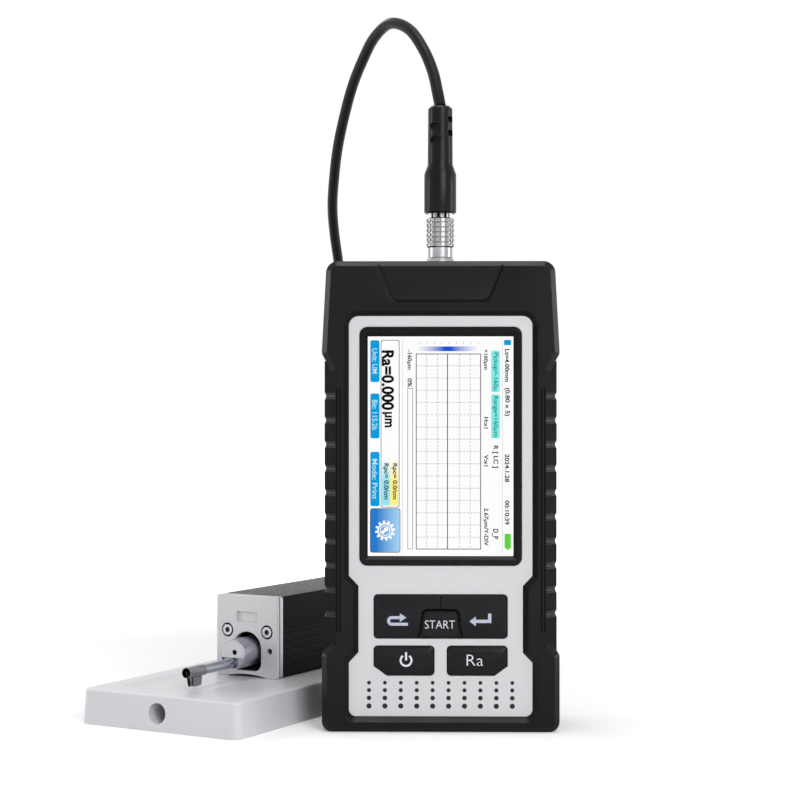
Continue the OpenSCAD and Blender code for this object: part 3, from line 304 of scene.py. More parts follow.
FINISHES = {
    # Mouldings and ink: dark tone, light tone, roughness, grain to the metre, relief, specular level
    "boot": moulded("boot_rubber", rgb(8, 8, 9), rgb(14, 14, 15), 0.3, 2600.0, 0.03, 0.15),
    "grip": moulded("grip_rubber", rgb(22, 22, 23), rgb(32, 32, 34), 0.5, 2600.0, 0.03, 0.02),
    "case": moulded("case_plastic", rgb(32, 32, 34), rgb(44, 44, 47), 0.5, 1500.0, 0.05, 0.15),
    "panel": moulded("silver_paint", rgb(200, 199, 202), rgb(209, 208, 211), 0.45, 5200.0, 0.006),
    "bezel": moulded("bezel_plastic", rgb(8, 8, 10), rgb(14, 14, 16), 0.28, 3000.0, 0.008, 0.12),
    "key": moulded("key_plastic", rgb(20, 20, 23), rgb(28, 28, 32), 0.28, 3600.0, 0.01, 0.12),
    "legend": moulded("legend_ink", rgb(172, 178, 198), rgb(182, 188, 206), 0.5, 3000.0, 0.004),
    "letter": moulded("letter_ink", rgb(212, 212, 218), rgb(222, 222, 226), 0.5, 3000.0, 0.004),
    "dot": moulded("dot_ink", rgb(30, 30, 36), rgb(42, 42, 48), 0.6, 3000.0, 0.004, 0.2),
    "board": moulded("solder_mask", (0.01, 0.09, 0.035), (0.02, 0.14, 0.06), 0.35, 900.0, 0.02),
    "guide": moulded("guide_plastic", (0.55, 0.55, 0.5), (0.62, 0.62, 0.58), 0.5, 1500.0, 0.02),
    "battery": moulded("battery_wrap", (0.03, 0.07, 0.22), (0.05, 0.1, 0.3), 0.3, 700.0, 0.03),
    "trim": moulded("trim_black", rgb(12, 12, 12), rgb(20, 20, 20), 0.4, 1800.0, 0.02, 0.12),
    "base": moulded("base_white", rgb(196, 196, 200), rgb(203, 203, 207), 0.34, 2200.0, 0.008),
    "cord": moulded("cord_jacket", rgb(14, 14, 15), rgb(24, 24, 25), 0.4, 2400.0, 0.02, 0.12),
    # The display
    "lens": clear("lens_clear"),
    "display": lit("display_white", WHITE),
    "ink": lit("screen_ink", rgb(14, 14, 18)),
    "faint": lit("screen_faint", rgb(192, 190, 203)),
    "teal": lit("screen_teal", rgb(132, 238, 230)),
    "teal_ink": lit("screen_teal_ink", rgb(24, 110, 116)),
    "button": lit("screen_button", rgb(8, 158, 220)),
    "button_ink": lit("screen_button_ink", rgb(190, 235, 250)),
    "green": lit("screen_green", rgb(92, 214, 58)),
    "yellow": lit("screen_yellow", rgb(255, 240, 136), WHITE, "Z", STRIP_SPAN),
    "cyan": lit("screen_cyan", rgb(150, 226, 240), WHITE, "Z", STRIP_SPAN),
    "tile": lit("screen_tile", rgb(34, 122, 206), rgb(156, 206, 242), "X", TILE_SPAN),
    "scale_low": lit("screen_scale_low", WHITE, SCALE_BLUE, "X", SCALE_LOW_SPAN),
    "scale_high": lit("screen_scale_high", SCALE_BLUE, WHITE, "X", SCALE_HIGH_SPAN),
    # Metal: dark tone, light tone, roughness, streaks to the metre along and across, turn, metallic
    "steel": brushed("ground_steel", rgb(150, 150, 154), rgb(178, 178, 182), 0.3, 900.0, 120.0),
    "plated": brushed("satin_plating", rgb(150, 150, 152), rgb(190, 190, 192), 0.24, 1500.0, 300.0),
    "shell": brushed("shell_plating", rgb(120, 120, 122), rgb(150, 150, 152), 0.3, 1500.0, 300.0),
    "knurl": brushed("knurled_plating", rgb(152, 152, 155), rgb(178, 178, 181), 0.3, 1500.0, 300.0),
    "screw": brushed("screw_steel", rgb(172, 172, 176), rgb(194, 194, 198), 0.3, 900.0, 120.0),
    "anodised": brushed("black_anodised", rgb(3, 3, 3), rgb(8, 8, 9), 0.32, 1800.0, 60.0, DRIVE_TURN,
                        metallic=0.0, specular=0.04),
    "bright": brushed("bright_alloy", *ALLOY, 0.45, 120.0, 2400.0, DRIVE_TURN, 0.3),
    "core": brushed("core_alloy", *ALLOY, 0.45, 120.0, 2400.0, DRIVE_TURN, 0.3),
    "spacer": brushed("spacer_alloy", rgb(166, 164, 170), rgb(188, 186, 192), 0.34, 2000.0, 90.0,
                      DRIVE_TURN),
    "grey": brushed("grey_alloy", rgb(166, 164, 176), rgb(190, 188, 200), 0.34, 2000.0, 90.0, DRIVE_TURN),
    "tube": brushed("tube_steel", rgb(150, 156, 166), rgb(182, 186, 194), 0.22, 900.0, 160.0, DRIVE_TURN),
    "nose": brushed("nose_steel", rgb(120, 120, 124), rgb(150, 150, 155), 0.2, 900.0, 160.0, DRIVE_TURN),
    "brass": brushed("turned_brass", (0.5, 0.34, 0.12), (0.62, 0.45, 0.2), 0.3, 900.0, 120.0, DRIVE_TURN),
}

# Painted shade in bores, by their axes in the driver: their insides go dark in the colour
STYLUS_AT = Vector(JOINTS["stylus_tilt"]["pos_m"])
CORE_HOLE_OUT, CORE_HOLE_UP = 1.0 * MM, 3.85 * MM
SCREW_OUT, SCREW_UP = 8.5 * MM, 10.35 * MM
CORE_HOLE = STYLUS_AT + SIDE * CORE_HOLE_OUT + UP * CORE_HOLE_UP
SCREWS_AT = [STYLUS_AT + SIDE * out + UP * SCREW_UP for out in (-SCREW_OUT, SCREW_OUT)]
TUBE_MOUTH = -31.6 * MM
# Tones of painted shade: deep in hollows, lighter in the sockets of screw heads
HOLLOW_SHADE, SOCKET_SHADE = 0.002, 0.08

# Finish, a point of the axis, radius in millimetres, tone of the painted shade inside
SHADED_BORES = [("nose", STYLUS_AT, 1.71, HOLLOW_SHADE), ("core", CORE_HOLE, 0.91, HOLLOW_SHADE)]
SHADED_BORES += [("spacer", at, 2.6, HOLLOW_SHADE) for at in SCREWS_AT]
SHADED_BORES += [("screw", at, 0.98, SOCKET_SHADE) for at in SCREWS_AT]
for finish, at, bore, tone in SHADED_BORES:
    bored = FINISHES[finish]
    bored.paint_shade(bored.radius(at, BACK) > bore * MM, tone)
# Painted shade: the tube's open front end, past its mouth, goes near black in the colour
tube = FINISHES["tube"]
tube.paint_shade(tube.reach(STYLUS_AT, BACK) > TUBE_MOUTH, HOLLOW_SHADE)

# Painted shade in the grooves of the plug's knurl, above its plain foot, and in slots round its shell, drawn
# dark where the sine is low
KNURL_FOOT = Vector((0.0, 0.0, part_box("release_sleeve")[0].z + 3.4 * MM))
GROOVE_FLOOR, GROOVE_RIM, GROOVE_SHADE = 4.3 * MM, 4.62 * MM, 0.18
SHELL_SLOTS, SLOT_FROM, SLOT_SHADE = 8, -0.3, 0.004
knurl = FINISHES["knurl"]
proud = knurl.ramp(knurl.radius(KNURL_FOOT, UP), GROOVE_FLOOR, GROOVE_RIM)
# Painted shade: darker where the knurl sinks below its groove rim, but not on its plain foot
knurl.paint_shade(proud | (knurl.reach(KNURL_FOOT, UP) < 0.0), GROOVE_SHADE)
# Painted shade: dark slots round the shell, in the colour only, with no slots in its mesh
shell = FINISHES["shell"]
bearing = shell.along("Y").math("ARCTAN2", shell.along("X"))
shell.paint_shade((bearing * SHELL_SLOTS).math("SINE") > SLOT_FROM, SLOT_SHADE)

# Which finish each CAD node takes
WORN_BY = {
    "boot": ["rubber_boot", "bend_relief", "driver_gland"],
    "case": ["rear_case"],
    "panel": ["front_panel"],
    "bezel": ["screen_bezel"],
    "lens": ["screen_lens"],
    "display": ["display_module"],
    "board": ["main_board"],
    "key": ["return_key", "enter_key", "start_key", "power_key", "parameter_key"],
    "guide": ["key_guide"],
    "battery": ["battery_pack"],
    "trim": ["buzzer", "coil_tie", "stylus_lever"],
    "steel": ["case_screws", "rear_screws", "guide_rods", "lead_screw"],
    "plated": ["socket_shell", "socket_nut", "plug_collet"],
    "shell": ["plug_shell"],
    "knurl": ["release_sleeve"],
    "anodised": ["driver_housing", "rear_plate"],
    "bright": ["front_plate"],
    "core": ["pickup_core"],
    "screw": ["front_screws"],
    "spacer": ["front_spacer"],
    "grey": ["carriage", "motor_bracket", "pickup_sleeve"],
    "tube": ["stylus_tube"],
    "nose": ["tube_nose", "skid"],
    "brass": ["screw_bush", "lead_nut", "gear_motor"],
    "base": ["base_plate"],
    "cord": ["lead_rise", "lead_coil", "lead_tail"],
}
FINISH_OF = {node: finish for finish, members in WORN_BY.items() for node in members}
for node, finish in FINISH_OF.items():
    NODES[node].data.materials.clear()
    NODES[node].data.materials.append(FINISHES[finish].material)


def piece(name, mesh, finish, body):
    """Puts a finished mesh into the scene, riding on a CAD body."""
    made = bpy.data.objects.new(name, mesh)
    scene.collection.objects.link(made)
    mesh.materials.clear()
    mesh.materials.append(FINISHES[finish].material)
    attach(made, body)
    return made


# Edges sharper than SHARP are rounded over and shaded apart, and faces within FLAT of each other are one
SHARP = math.radians(28.0)
FLAT = math.radians(1.0)
ROUND_STEPS = 3

# Corners this near are one, in the CAD triangles and in print
MERGE, PRINT_MERGE = 0.002 * MM, 0.001 * MM


def soft_edges(node, width):
    """Copy of a CAD node with its sharp edges rounded: triangles merged to flat faces, then a bevel."""
    source = NODES[node]
    mesh = source.data.copy()
    work = bmesh.new()
    work.from_mesh(mesh)
    bmesh.ops.remove_doubles(work, verts=work.verts, dist=MERGE)
    bmesh.ops.dissolve_limit(work, angle_limit=FLAT, verts=work.verts, edges=work.edges)
    work.to_mesh(mesh)
    work.free()
    mesh.polygons.foreach_set("use_smooth", np.ones(len(mesh.polygons), bool))
    mesh.set_sharp_from_angle(angle=SHARP)
    made = piece(node + "_soft", mesh, FINISH_OF[node], source["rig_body"])
    round_over = made.modifiers.new("round_over", "BEVEL")
    round_over.width = width
    round_over.segments = ROUND_STEPS
    round_over.limit_method = "ANGLE"
    round_over.angle_limit = SHARP
    round_over.harden_normals = True
    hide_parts(node)
    return made


# Rounded edges on what the camera sees closely: millimetres at most, as short edges narrow them
ROUND_OVER = {
    "rubber_boot": 0.35, "front_panel": 0.15, "screen_bezel": 0.2, "rear_case": 0.3, "return_key": 0.35,
    "enter_key": 0.35, "start_key": 0.3, "power_key": 0.35, "parameter_key": 0.35, "driver_housing": 0.2,
    "front_plate": 0.15, "front_spacer": 0.12, "rear_plate": 0.2, "pickup_sleeve": 0.12, "pickup_core": 0.1,
    "tube_nose": 0.08, "skid": 0.1, "base_plate": 0.35, "socket_shell": 0.12, "bend_relief": 0.2,
}
SOFT = {node: soft_edges(node, width * MM) for node, width in ROUND_OVER.items()}

# The boot's slanted grips are duller than its bumpers: broad faces between these that look sideways
GRIP_FROM, GRIP_TO, GRIP_LEAST = 31.0 * MM, 121.0 * MM, 18.0 * MM**2
SIDEWAYS, LEVEL = 0.4, 0.3
boot = SOFT["rubber_boot"].data
looks, middles, areas = (np.empty(len(boot.polygons) * k) for k in (3, 3, 1))
boot.polygons.foreach_get("normal", looks)
boot.polygons.foreach_get("center", middles)
boot.polygons.foreach_get("area", areas)
looks, heights = np.abs(looks.reshape(-1, 3)), middles.reshape(-1, 3)[:, 2]
on_grip = (looks[:, 0] > SIDEWAYS) & (looks[:, 2] < LEVEL) & (areas > GRIP_LEAST)
on_grip &= (heights > GRIP_FROM) & (heights < GRIP_TO)
boot.materials.append(FINISHES["grip"].material)
boot.polygons.foreach_set("material_index", on_grip.astype(np.int32))


def sheet_mesh(name, points, closed=False):
    """Mesh of a grid of points, shape (rows, columns, 3), with quads between neighbours. In a closed one the
    last column also joins the first."""
    rows, columns = points.shape[:2]
    index = np.arange(rows * columns).reshape(rows, columns)
    if closed:
        index = np.concatenate([index, index[:, :1]], axis=1)
    quads = np.stack([index[:-1, :-1], index[:-1, 1:], index[1:, 1:], index[1:, :-1]], -1).reshape(-1, 4)
    mesh = bpy.data.meshes.new(name)
    mesh.from_pydata(points.reshape(-1, 3).tolist(), [], quads.tolist())
    mesh.polygons.foreach_set("use_smooth", np.ones(len(quads), bool))
    return mesh


# Lead: the route of the CAD source in millimetres, with the coil's turns worked out
CORD_R = 2.0 * MM
CORD_SIDES = 20
COIL_R = 24.0 * MM
COIL_PITCH = 4.15 * MM
COIL_TURNS = 3.575
COIL_POINTS = 130
SPAN_STEPS = 8
GLAND_BEHIND, GLAND_BELOW = 96.0 * MM, 7.0 * MM
TAIL_RUN = 45.0 * MM
OFF_PATH = (0.3, 0.9, 0.2)
FROM_PLUG = [
    (0, 0, 0), (-0.8, 1.9, 4.6), (-2.5, 6.7, 13.1), (-5.8, 12.6, 22.1), (-10.9, 20.3, 30.7),
    (-17.7, 30.3, 34.9), (-23.8, 41.4, 32.1), (-28.6, 51.9, 25.5), (-32.7, 61.9, 17.9), (-36.2, 71.6, 8.2),
    (-39.2, 81.3, -2.4), (-41.1, 90.8, -12.8), (-42.3, 100.4, -23.2), (-42, 110, -33.5),
]
FROM_COIL = [
    (-7.2, -65.8, 141.7), (-6, -50.8, 110.2), (-4.2, -37.8, 76.2), (-2.5, -26.5, 41.2), (-0.8, -15, 12.2),
    (0, 0, 0),
]
FROM_GLAND = [(0, 0), (8, 0), (18, -5)]
FROM_TAIL_END = [(-14, 4), (0, 0)]

plug_top = Vector((0.0, 0.0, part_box("bend_relief")[1].z))
coil_low, coil_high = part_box("lead_coil")
coil_mid = Vector(((coil_low.x + coil_high.x) / 2, (coil_low.y + coil_high.y) / 2, 0.0))
rise_start = coil_mid + Vector((-COIL_R, 0.0, CORD_R + COIL_TURNS * COIL_PITCH))
gland_end = Vector(JOINTS["screw_turn"]["pos_m"]) + BACK * GLAND_BEHIND - UP * GLAND_BELOW
tail_end = Vector((*(gland_end + BACK * TAIL_RUN).xy, CORD_R))


def smooth(points):
    """Curve through all points: a cubic on each span, its end slopes half the neighbours' difference."""
    p = np.asarray(points, float)
    p = np.concatenate([p[:1], p, p[-1:]])
    t = np.linspace(0.0, 1.0, SPAN_STEPS, endpoint=False)[None, :, None]
    a, b, c, d = (p[i : len(p) - 3 + i, None, :] for i in range(4))
    spans = 0.5 * (2 * b + (c - a) * t + (2 * a - 5 * b + 4 * c - d) * t**2 + (3 * b - a - 3 * c + d) * t**3)
    return np.concatenate([spans.reshape(-1, 3), p[-1:]])


def round_tube(name, path, radius, sides):
    """Round tube: a circle carried along the path in a frame turned as little as possible."""
    ahead = np.gradient(path, axis=0)
    ahead /= np.linalg.norm(ahead, axis=1)[:, None]
    normals = np.zeros_like(path)
    start = np.cross(ahead[0], OFF_PATH)
    normals[0] = start / np.linalg.norm(start)
    for i in range(1, len(path)):
        carried = normals[i - 1] - ahead[i] * (normals[i - 1] @ ahead[i])
        normals[i] = carried / np.linalg.norm(carried)
    angle = np.linspace(0.0, 2 * math.pi, sides, endpoint=False)
    across = np.cross(ahead, normals)
    ring = np.cos(angle)[None, :, None] * normals[:, None] + np.sin(angle)[None, :, None] * across[:, None]
    return sheet_mesh(name, path[:, None] + radius * ring, closed=True)


rise = [plug_top + Vector(p) * MM for p in FROM_PLUG] + [rise_start + Vector(p) * MM for p in FROM_COIL]
tail = [end + BACK * along * MM + UP * up * MM
        for end, steps in ((gland_end, FROM_GLAND), (tail_end, FROM_TAIL_END)) for along, up in steps]
wound = np.linspace(0.0, COIL_TURNS, COIL_POINTS)[1:-1]
coil_angle = math.pi - 2 * math.pi * wound
coil = np.stack([
    coil_mid.x + COIL_R * np.cos(coil_angle),
    coil_mid.y + COIL_R * np.sin(coil_angle),
    CORD_R + COIL_PITCH * (COIL_TURNS - wound),
], axis=1)
lead_path = np.concatenate([smooth(rise), coil, smooth(tail)[::-1]])
lead = piece("lead", round_tube("lead", lead_path, CORD_R, CORD_SIDES), "cord", "tester")
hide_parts("lead_rise", "lead_coil", "lead_tail")


# Flat shapes, for printed legends and the display's picture: fields lie under lines, and lines under words
FIELD, LINE, WORD = 0, 1, 2
LAYER_LIFT = 0.015 * MM
LETTER_STEPS = 4


class Sheet:
    """A plane for flat shapes in millimetres: an origin, the reading direction and the up direction."""

    def __init__(self, origin, right, up):
        self.origin, self.right, self.up = (np.array(v, float) for v in (origin, right, up))
        self.toward = np.cross(self.right, self.up)

    def place(self, flat, layer):
        """Points of the plane as points of the scene, lifted by their layer."""
        flat = np.asarray(flat, float) * MM
        lift = self.toward * (layer + 1) * LAYER_LIFT
        return self.origin + flat[..., :1] * self.right + flat[..., 1:] * self.up + lift

    def polygons(self, loops, layer=FIELD):
        """One flat face per loop."""
        starts = np.cumsum([0] + [len(loop) for loop in loops])
        mesh = bpy.data.meshes.new("flat")
        faces = [list(range(a, b)) for a, b in zip(starts[:-1], starts[1:])]
        mesh.from_pydata(self.place(np.concatenate(loops), layer).tolist(), [], faces)
        return mesh

    def band(self, outer, inner, layer=FIELD, closed=True):
        """Flat band between two loops or two lines."""
        return sheet_mesh("band", self.place(np.stack([outer, inner]), layer), closed)

    def text(self, words, left, right, low, high, bold):
        """Lettering stretched into a rectangle."""
        curve = bpy.data.curves.new("words", "FONT")
        curve.body, curve.offset, curve.resolution_u = words, bold, LETTER_STEPS
        holder = bpy.data.objects.new("words", curve)
        mesh = bpy.data.meshes.new_from_object(holder)
        bpy.data.objects.remove(holder)
        bpy.data.curves.remove(curve)
        flat = np.empty(len(mesh.vertices) * 3)
        mesh.vertices.foreach_get("co", flat)
        flat = flat.reshape(-1, 3)[:, :2]
        least, most = flat.min(0), flat.max(0)
        flat = (flat - least) / (most - least) * (right - left, high - low) + (left, low)
        mesh.vertices.foreach_set("co", self.place(flat, WORD).ravel())
        return mesh


def soft_box(left, right, low, high, r, steps=8):
    """Rounded rectangle: in each direction, the centre of that quadrant's corner plus its radius."""
    angle = (np.arange(4 * steps) + 0.5) / (4 * steps) * 2 * math.pi
    way = np.stack([np.cos(angle), np.sin(angle)], 1)
    half = np.array([(right - left) / 2 - r, (high - low) / 2 - r])
    return np.array([(left + right) / 2, (low + high) / 2]) + np.sign(way) * half + r * way


def disc(x, y, r, start=0.0, stop=360.0, steps=40):
    """Circle, or an arc of it, by angle from the reading direction. The radius may vary along it."""
    angle = np.radians(np.linspace(start, stop, steps, endpoint=stop - start < 360.0))
    return np.stack([x + r * np.cos(angle), y + r * np.sin(angle)], 1)


def bars(lefts, rights, lows, highs):
    """Many plain rectangles from matching arrays of their sides."""
    a, b, c, d = np.broadcast_arrays(lefts, rights, lows, highs)
    return list(np.stack([np.stack(p, -1) for p in ((a, c), (b, c), (b, d), (a, d))], -2).reshape(-1, 4, 2))


def printed(name, finish, body, *meshes):
    """One piece from several flat meshes."""
    work = bmesh.new()
    for flat in meshes:
        work.from_mesh(flat)
        bpy.data.meshes.remove(flat)
    bmesh.ops.remove_doubles(work, verts=work.verts, dist=PRINT_MERGE)
    mesh = bpy.data.meshes.new(name)
    work.to_mesh(mesh)
    work.free()
    return piece(name, mesh, finish, body)


# Legends on the keys: millimetres from the unit's middle and up from its foot
def return_sign(face):
    """Curled arrow: half a ring joins two bars, and the upper one has a head."""
    x, z, outer, inner = -16.3, 37.25, 1.6, 0.6
    curl = face.band(disc(x, z, outer, 90, 270), disc(x, z, inner, 90, 270), closed=False)
    ends = bars([x, x], [-10.9, -13.6], [z - outer, z + inner], [z - inner, z + outer])
    head = np.array([(-13.65, 36.9), (-11.45, 38.35), (-13.65, 39.8)])
    return [curl, face.polygons([*ends, head])]


def enter_sign(face):
    """Bent arrow: an upright bar, a level bar and a head."""
    ends = bars([15.85, 11.7], [16.95, 15.9], [36.6, 36.6], [39.75, 37.7])
    head = np.array([(11.75, 35.55), (11.75, 38.75), (9.65, 37.15)])
    return [face.polygons([*ends, head])]


def start_word(face):
    return [face.text("START", -5.25, 4.8, 34.7, 37.45, -0.01)]


def power_sign(face):
    """Ring open at the top, with a bar in the opening."""
    x, z, outer, inner, half = -11.55, 24.05, 2.15, 1.5, 0.35
    ring = face.band(disc(x, z, outer, 125, 415), disc(x, z, inner, 125, 415), closed=False)
    return [ring, face.polygons(bars([x - half], [x + half], [z], [26.8]))]


def parameter_word(face):
    return [face.text("Ra", 8.7, 14.25, 22.3, 26.0, -0.012)]


LEGENDS = {
    "return": ("legend", return_sign), "enter": ("legend", enter_sign), "start": ("letter", start_word),
    "power": ("letter", power_sign), "parameter": ("letter", parameter_word),
}
for key, (finish, drawn) in LEGENDS.items():
    key_face = Sheet((0.0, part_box(key + "_key")[0].y, 0.0), RIGHT, UP)
    printed(key + "_legend", finish, key + "_key", *drawn(key_face))

# Dots printed below the keys: rows by height and radius
DOT_ROWS = ((16.4, 0.65), (13.9, 0.7), (11.3, 0.78), (8.6, 0.88))
DOT_COLUMNS, DOT_PITCH = 10, 5.33
panel_face = Sheet((0.0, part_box("front_panel")[0].y, 0.0), RIGHT, UP)
dot_x = DOT_PITCH * (np.arange(DOT_COLUMNS) - (DOT_COLUMNS - 1) / 2)
dots = [disc(x, z, r, steps=20) for z, r in DOT_ROWS for x in dot_x]
printed("panel_dots", "dot", "tester", panel_face.polygons(dots))

# Picture on the display, which reads down the unit: millimetres down from its top, then to the right
LENS_EDGE, LENS_TOP = 1.5 * MM, 1.9 * MM
lens_low, lens_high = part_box("screen_lens")
screen = Sheet((lens_low.x + LENS_EDGE, lens_high.y, lens_high.z - LENS_TOP), -UP, RIGHT)

# How bold the words are, and each word with the left, right, low and high side of its rectangle
SMALL_BOLD, LARGE_BOLD, MARK_BOLD, BUTTON_BOLD = 0.026, 0.035, 0.012, 0.01
SMALL_WORDS = [
    ("Lt=4.00mm", 4.1, 15.1, 45.9, 47.4), ("(0.80 x 5)", 17.1, 26.6, 45.6, 47.6),
    ("2024.1.28", 39.4, 48.8, 45.9, 47.4), ("00:10:39", 54.9, 63.1, 45.9, 47.4),
    ("R [ LC ]", 36.5, 44.0, 41.6, 43.7), ("D_P", 64.5, 67.9, 41.6, 43.7),
    ("+160\u00b5m", 4.2, 11.0, 38.6, 40.3), ("H:x1", 26.9, 30.8, 38.9, 40.3),
    ("V:x1", 39.6, 43.5, 38.9, 40.3),
    ("2.67\u00b5m/Y-DIV", 57.5, 70.2, 38.6, 40.4), ("-160\u00b5m", 4.3, 11.0, 12.9, 14.7),
    ("0%", 13.9, 16.8, 13.2, 14.7), ("Rpc= 0.0/cm", 42.5, 54.6, 7.8, 9.8),
    ("Rpc= 0.0/cm", 42.5, 54.6, 4.9, 6.9),
]
LARGE_WORDS = [("\u00b5m", 25.2, 30.4, 4.7, 8.0), ("Ra=0.000", 4.5, 24.6, 4.5, 8.7)]
MARK_WORDS = [("Pickup=-160\u00b5", 5.3, 17.9, 41.7, 43.7), ("Range=160\u00b5m", 19.9, 33.6, 41.7, 43.7)]
BUTTON_WORDS = [
    ("Unit: UM", 3.9, 12.3, 1.3, 3.1), ("Bit: 115.2k", 21.2, 31.4, 1.3, 3.1),
    ("Mode: Print", 41.0, 54.5, 1.3, 3.1),
]

# The chart with its ticks and its grid of dashes, and the tile in the corner
CHART_LEFT, CHART_RIGHT, CHART_LOW, CHART_HIGH = 5.6, 71.4, 16.0, 37.9
CHART_COLUMNS, CHART_ROWS = 16, 6
MIDDLE_LINE = (26.5, 26.78)
TICKS, TICK_FIRST, TICK_STEP, TICK_WIDTH = 9, 17.3, 2.45, 0.1
DASH, DASH_STEP, DASH_HALF = 0.75, 1.21, 0.13
DASHES_UP, DASHES_ALONG = 18, 54
TILE = (57.6, 72.5, 0.6, 10.8, 0.9)

# Frames: left, right, low and high side, corner radius, line width
FRAMES = [
    (1.0, 57.3, 4.2, 10.5, 0.8, 0.2), (CHART_LEFT, CHART_RIGHT, CHART_LOW, CHART_HIGH, 0.1, 0.26),
    (17.2, 71.3, 13.2, 15.0, 0.1, 0.16), (*TILE, 0.16),
]
tick_low = TICK_FIRST + TICK_STEP * np.arange(TICKS)
lines = bars(1.6, 2.5, tick_low, tick_low + TICK_WIDTH)
lines += bars([CHART_LEFT], [CHART_RIGHT], *MIDDLE_LINE)
outlines = [screen.band(soft_box(a, b, c, d, r), soft_box(a + t, b - t, c + t, d - t, r - t / 2), LINE)
            for a, b, c, d, r, t in FRAMES]
words = [screen.text(*w, SMALL_BOLD) for w in SMALL_WORDS]
words += [screen.text(*w, LARGE_BOLD) for w in LARGE_WORDS]
printed("screen_words", "ink", "tester", *words, *outlines, screen.polygons(lines, LINE))

columns = np.linspace(CHART_LEFT, CHART_RIGHT, CHART_COLUMNS + 1)[1:-1, None]
rows = np.linspace(CHART_LOW, CHART_HIGH, CHART_ROWS + 1)[[1, 2, 4, 5], None]
dash_up = np.arange(DASHES_UP) * DASH_STEP + CHART_LOW + 0.2
dash_along = np.arange(DASHES_ALONG) * DASH_STEP + CHART_LEFT + 0.3
grid = bars(columns - DASH_HALF, columns + DASH_HALF, dash_up, dash_up + DASH)
grid += bars(dash_along, dash_along + DASH, rows - DASH_HALF, rows + DASH_HALF)
rules = bars([0.6, 0.6], [72.8, 72.8], [45.05, 11.45], [45.17, 11.57])
printed("screen_grid", "faint", "tester", screen.polygons(grid + rules))

# Coloured fields and what is written on them
marks = [soft_box(4.6, 18.6, 41.3, 44.2, 0.6), soft_box(19.3, 34.1, 41.3, 44.2, 0.6)]
buttons = [soft_box(a, b, 0.7, 3.8, 0.7) for a, b in ((1.1, 15.2), (19.0, 34.1), (38.6, 56.9))]
sign = soft_box(1.0, 2.8, 45.6, 48.0, 0.4)
charge = [soft_box(66.1, 71.0, 45.8, 47.9, 0.3), soft_box(70.9, 71.5, 46.4, 47.3, 0.1)]
printed("screen_marks", "teal", "tester", screen.polygons(marks))
printed("screen_mark_words", "teal_ink", "tester", *(screen.text(*w, MARK_BOLD) for w in MARK_WORDS))
printed("screen_buttons", "button", "tester", screen.polygons([*buttons, sign]))
printed("screen_button_words", "button_ink", "tester", *(screen.text(*w, BUTTON_BOLD) for w in BUTTON_WORDS))
printed("screen_battery", "green", "tester", screen.polygons(charge))
printed("screen_high_strip", "yellow", "tester", screen.polygons(bars([40.4], [56.6], [7.35], [10.1])))
printed("screen_low_strip", "cyan", "tester", screen.polygons(bars([40.4], [56.6], [4.6], [7.3])))
printed("screen_tile", "tile", "tester", screen.polygons([soft_box(*TILE)]))
printed("screen_scale_low", "scale_low", "tester", screen.polygons(bars([3.2], [4.8], [16.3], [26.9])))
printed("screen_scale_high", "scale_high", "tester", screen.polygons(bars([3.2], [4.8], [26.9], [37.5])))

# Gear on the tile, its radius a flattened sine of the angle, round a small globe
GEAR_X, GEAR_Y, GEAR_STEPS = 65.1, 5.7, 240
GEAR_R, HUB_R, TEETH, TOOTH_HALF, TOOTH_STEEP = 3.0, 2.1, 12, 0.42, 4
gear_angle = np.linspace(0, 2 * math.pi, GEAR_STEPS, endpoint=False)
gear_r = GEAR_R + TOOTH_HALF * np.tanh(TOOTH_STEEP * np.sin(TEETH * gear_angle))
toothed = disc(GEAR_X, GEAR_Y, gear_r, steps=GEAR_STEPS)
gear = screen.band(toothed, disc(GEAR_X, GEAR_Y, HUB_R, steps=GEAR_STEPS), WORD)
globe = screen.band(disc(GEAR_X, GEAR_Y, 1.75, steps=60), disc(GEAR_X, GEAR_Y, 1.45, steps=60), WORD)
lands = screen.polygons([soft_box(64.0, 65.4, 5.2, 6.8, 0.6), soft_box(65.0, 66.1, 4.4, 5.6, 0.5)], WORD)
printed("screen_gear", "display", "tester", gear, globe, lands)

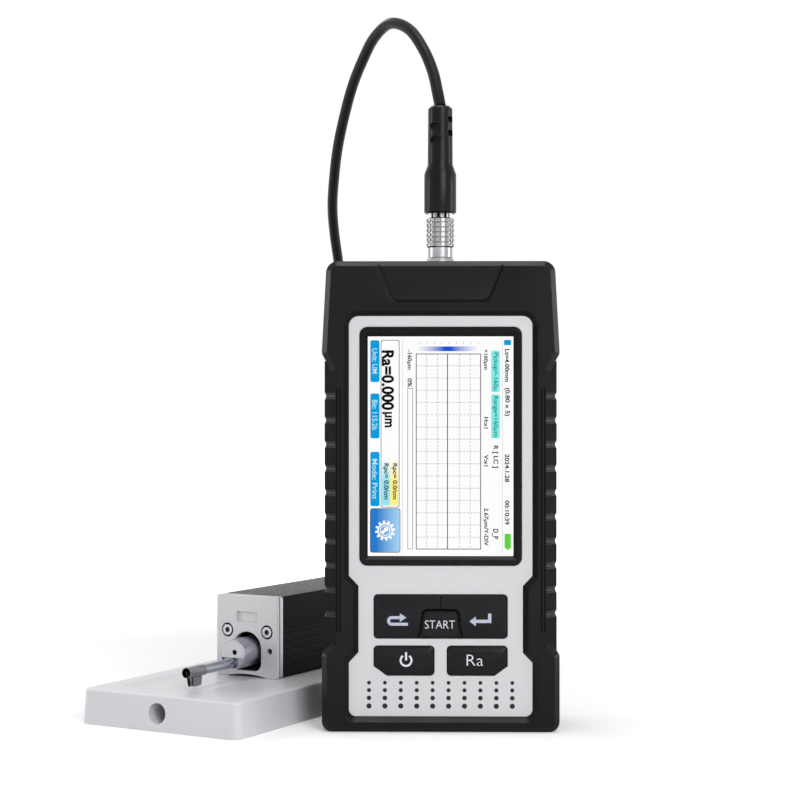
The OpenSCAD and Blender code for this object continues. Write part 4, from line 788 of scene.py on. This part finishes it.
# Floor: pale paper that goes to white away from the object, and keeps its shadow
FLOOR_HALF = 4.0
PAPER = (0.82, 0.82, 0.82)
SHADOW_MIDDLE, SHADOW_NEAR, SHADOW_FAR, SHADOW_WHITE = (-0.03, 0.08, 0.0), 0.16, 0.5, 0.16
corners = np.array([[[-1, -1, 0], [1, -1, 0]], [[-1, 1, 0], [1, 1, 0]]], float)
floor = bpy.data.objects.new("floor", sheet_mesh("floor", FLOOR_HALF * corners))
scene.collection.objects.link(floor)
paper = Finish("floor_paper", PAPER, 0.9, specular=0.0, glow=1.0)
away = paper.vector("LENGTH", paper.vector("SUBTRACT", paper.place(), SHADOW_MIDDLE), out="Value")
whiten = paper.node("ShaderNodeMapRange", {"interpolation_type": "SMOOTHSTEP"},
                    {0: away, 1: SHADOW_NEAR, 2: SHADOW_FAR, 3: SHADOW_WHITE, 4: 1.0})
paper.feed("Emission Color", paper.mix(whiten * paper.seen(), (*BLACK, 1.0), (*WHITE, 1.0)))
floor.data.materials.append(paper.material)

# World: a plain fill light, and white where it is seen
FILL = 0.45
world = bpy.data.worlds.new("studio")
scene.world = world
world.use_nodes = True
sky = Nodes(world.node_tree)
sky.tree.nodes.remove(sky.tree.nodes["Background"])
fill, white = (sky.node("ShaderNodeBackground", None, {"Color": (*WHITE, 1.0), "Strength": strength})
               for strength in (FILL, 1.0))
shown = sky.node("ShaderNodeMixShader", None, {0: sky.seen(), 1: fill, 2: white})
sky.plug(sky.tree.nodes["World Output"].inputs["Surface"], shown)

# Lamps: place, what they face, width, height, watts
LIGHTS = {
    "front": ((0.55, -1.25, 0.8), (0.0, 0.0, 0.08), 0.6, 0.9, 13.5),
    "overhead": ((0.0, -0.065, 1.25), (0.0, 0.0, 0.05), 0.5, 0.37, 4.2),
    "left": ((-1.0, 0.05, 0.25), (0.0, 0.0, 0.1), 0.14, 0.5, 2.3),
    "right": ((1.0, 0.05, 0.25), (0.0, 0.0, 0.1), 0.14, 0.5, 2.3),
    "rear": ((-0.8, 1.3, 1.1), (0.0, 0.05, 0.08), 0.6, 0.5, 5.0),
}
for name, (at, faced, width, height, power) in LIGHTS.items():
    lamp = bpy.data.lights.new(name, "AREA")
    lamp.shape, lamp.size, lamp.size_y, lamp.energy = "RECTANGLE", width, height, power
    stand = bpy.data.objects.new(name, lamp)
    scene.collection.objects.link(stand)
    stand.location = at
    stand.rotation_euler = (Vector(faced) - Vector(at)).to_track_quat("-Z", "Y").to_euler()

scene.view_settings.view_transform = "Standard"
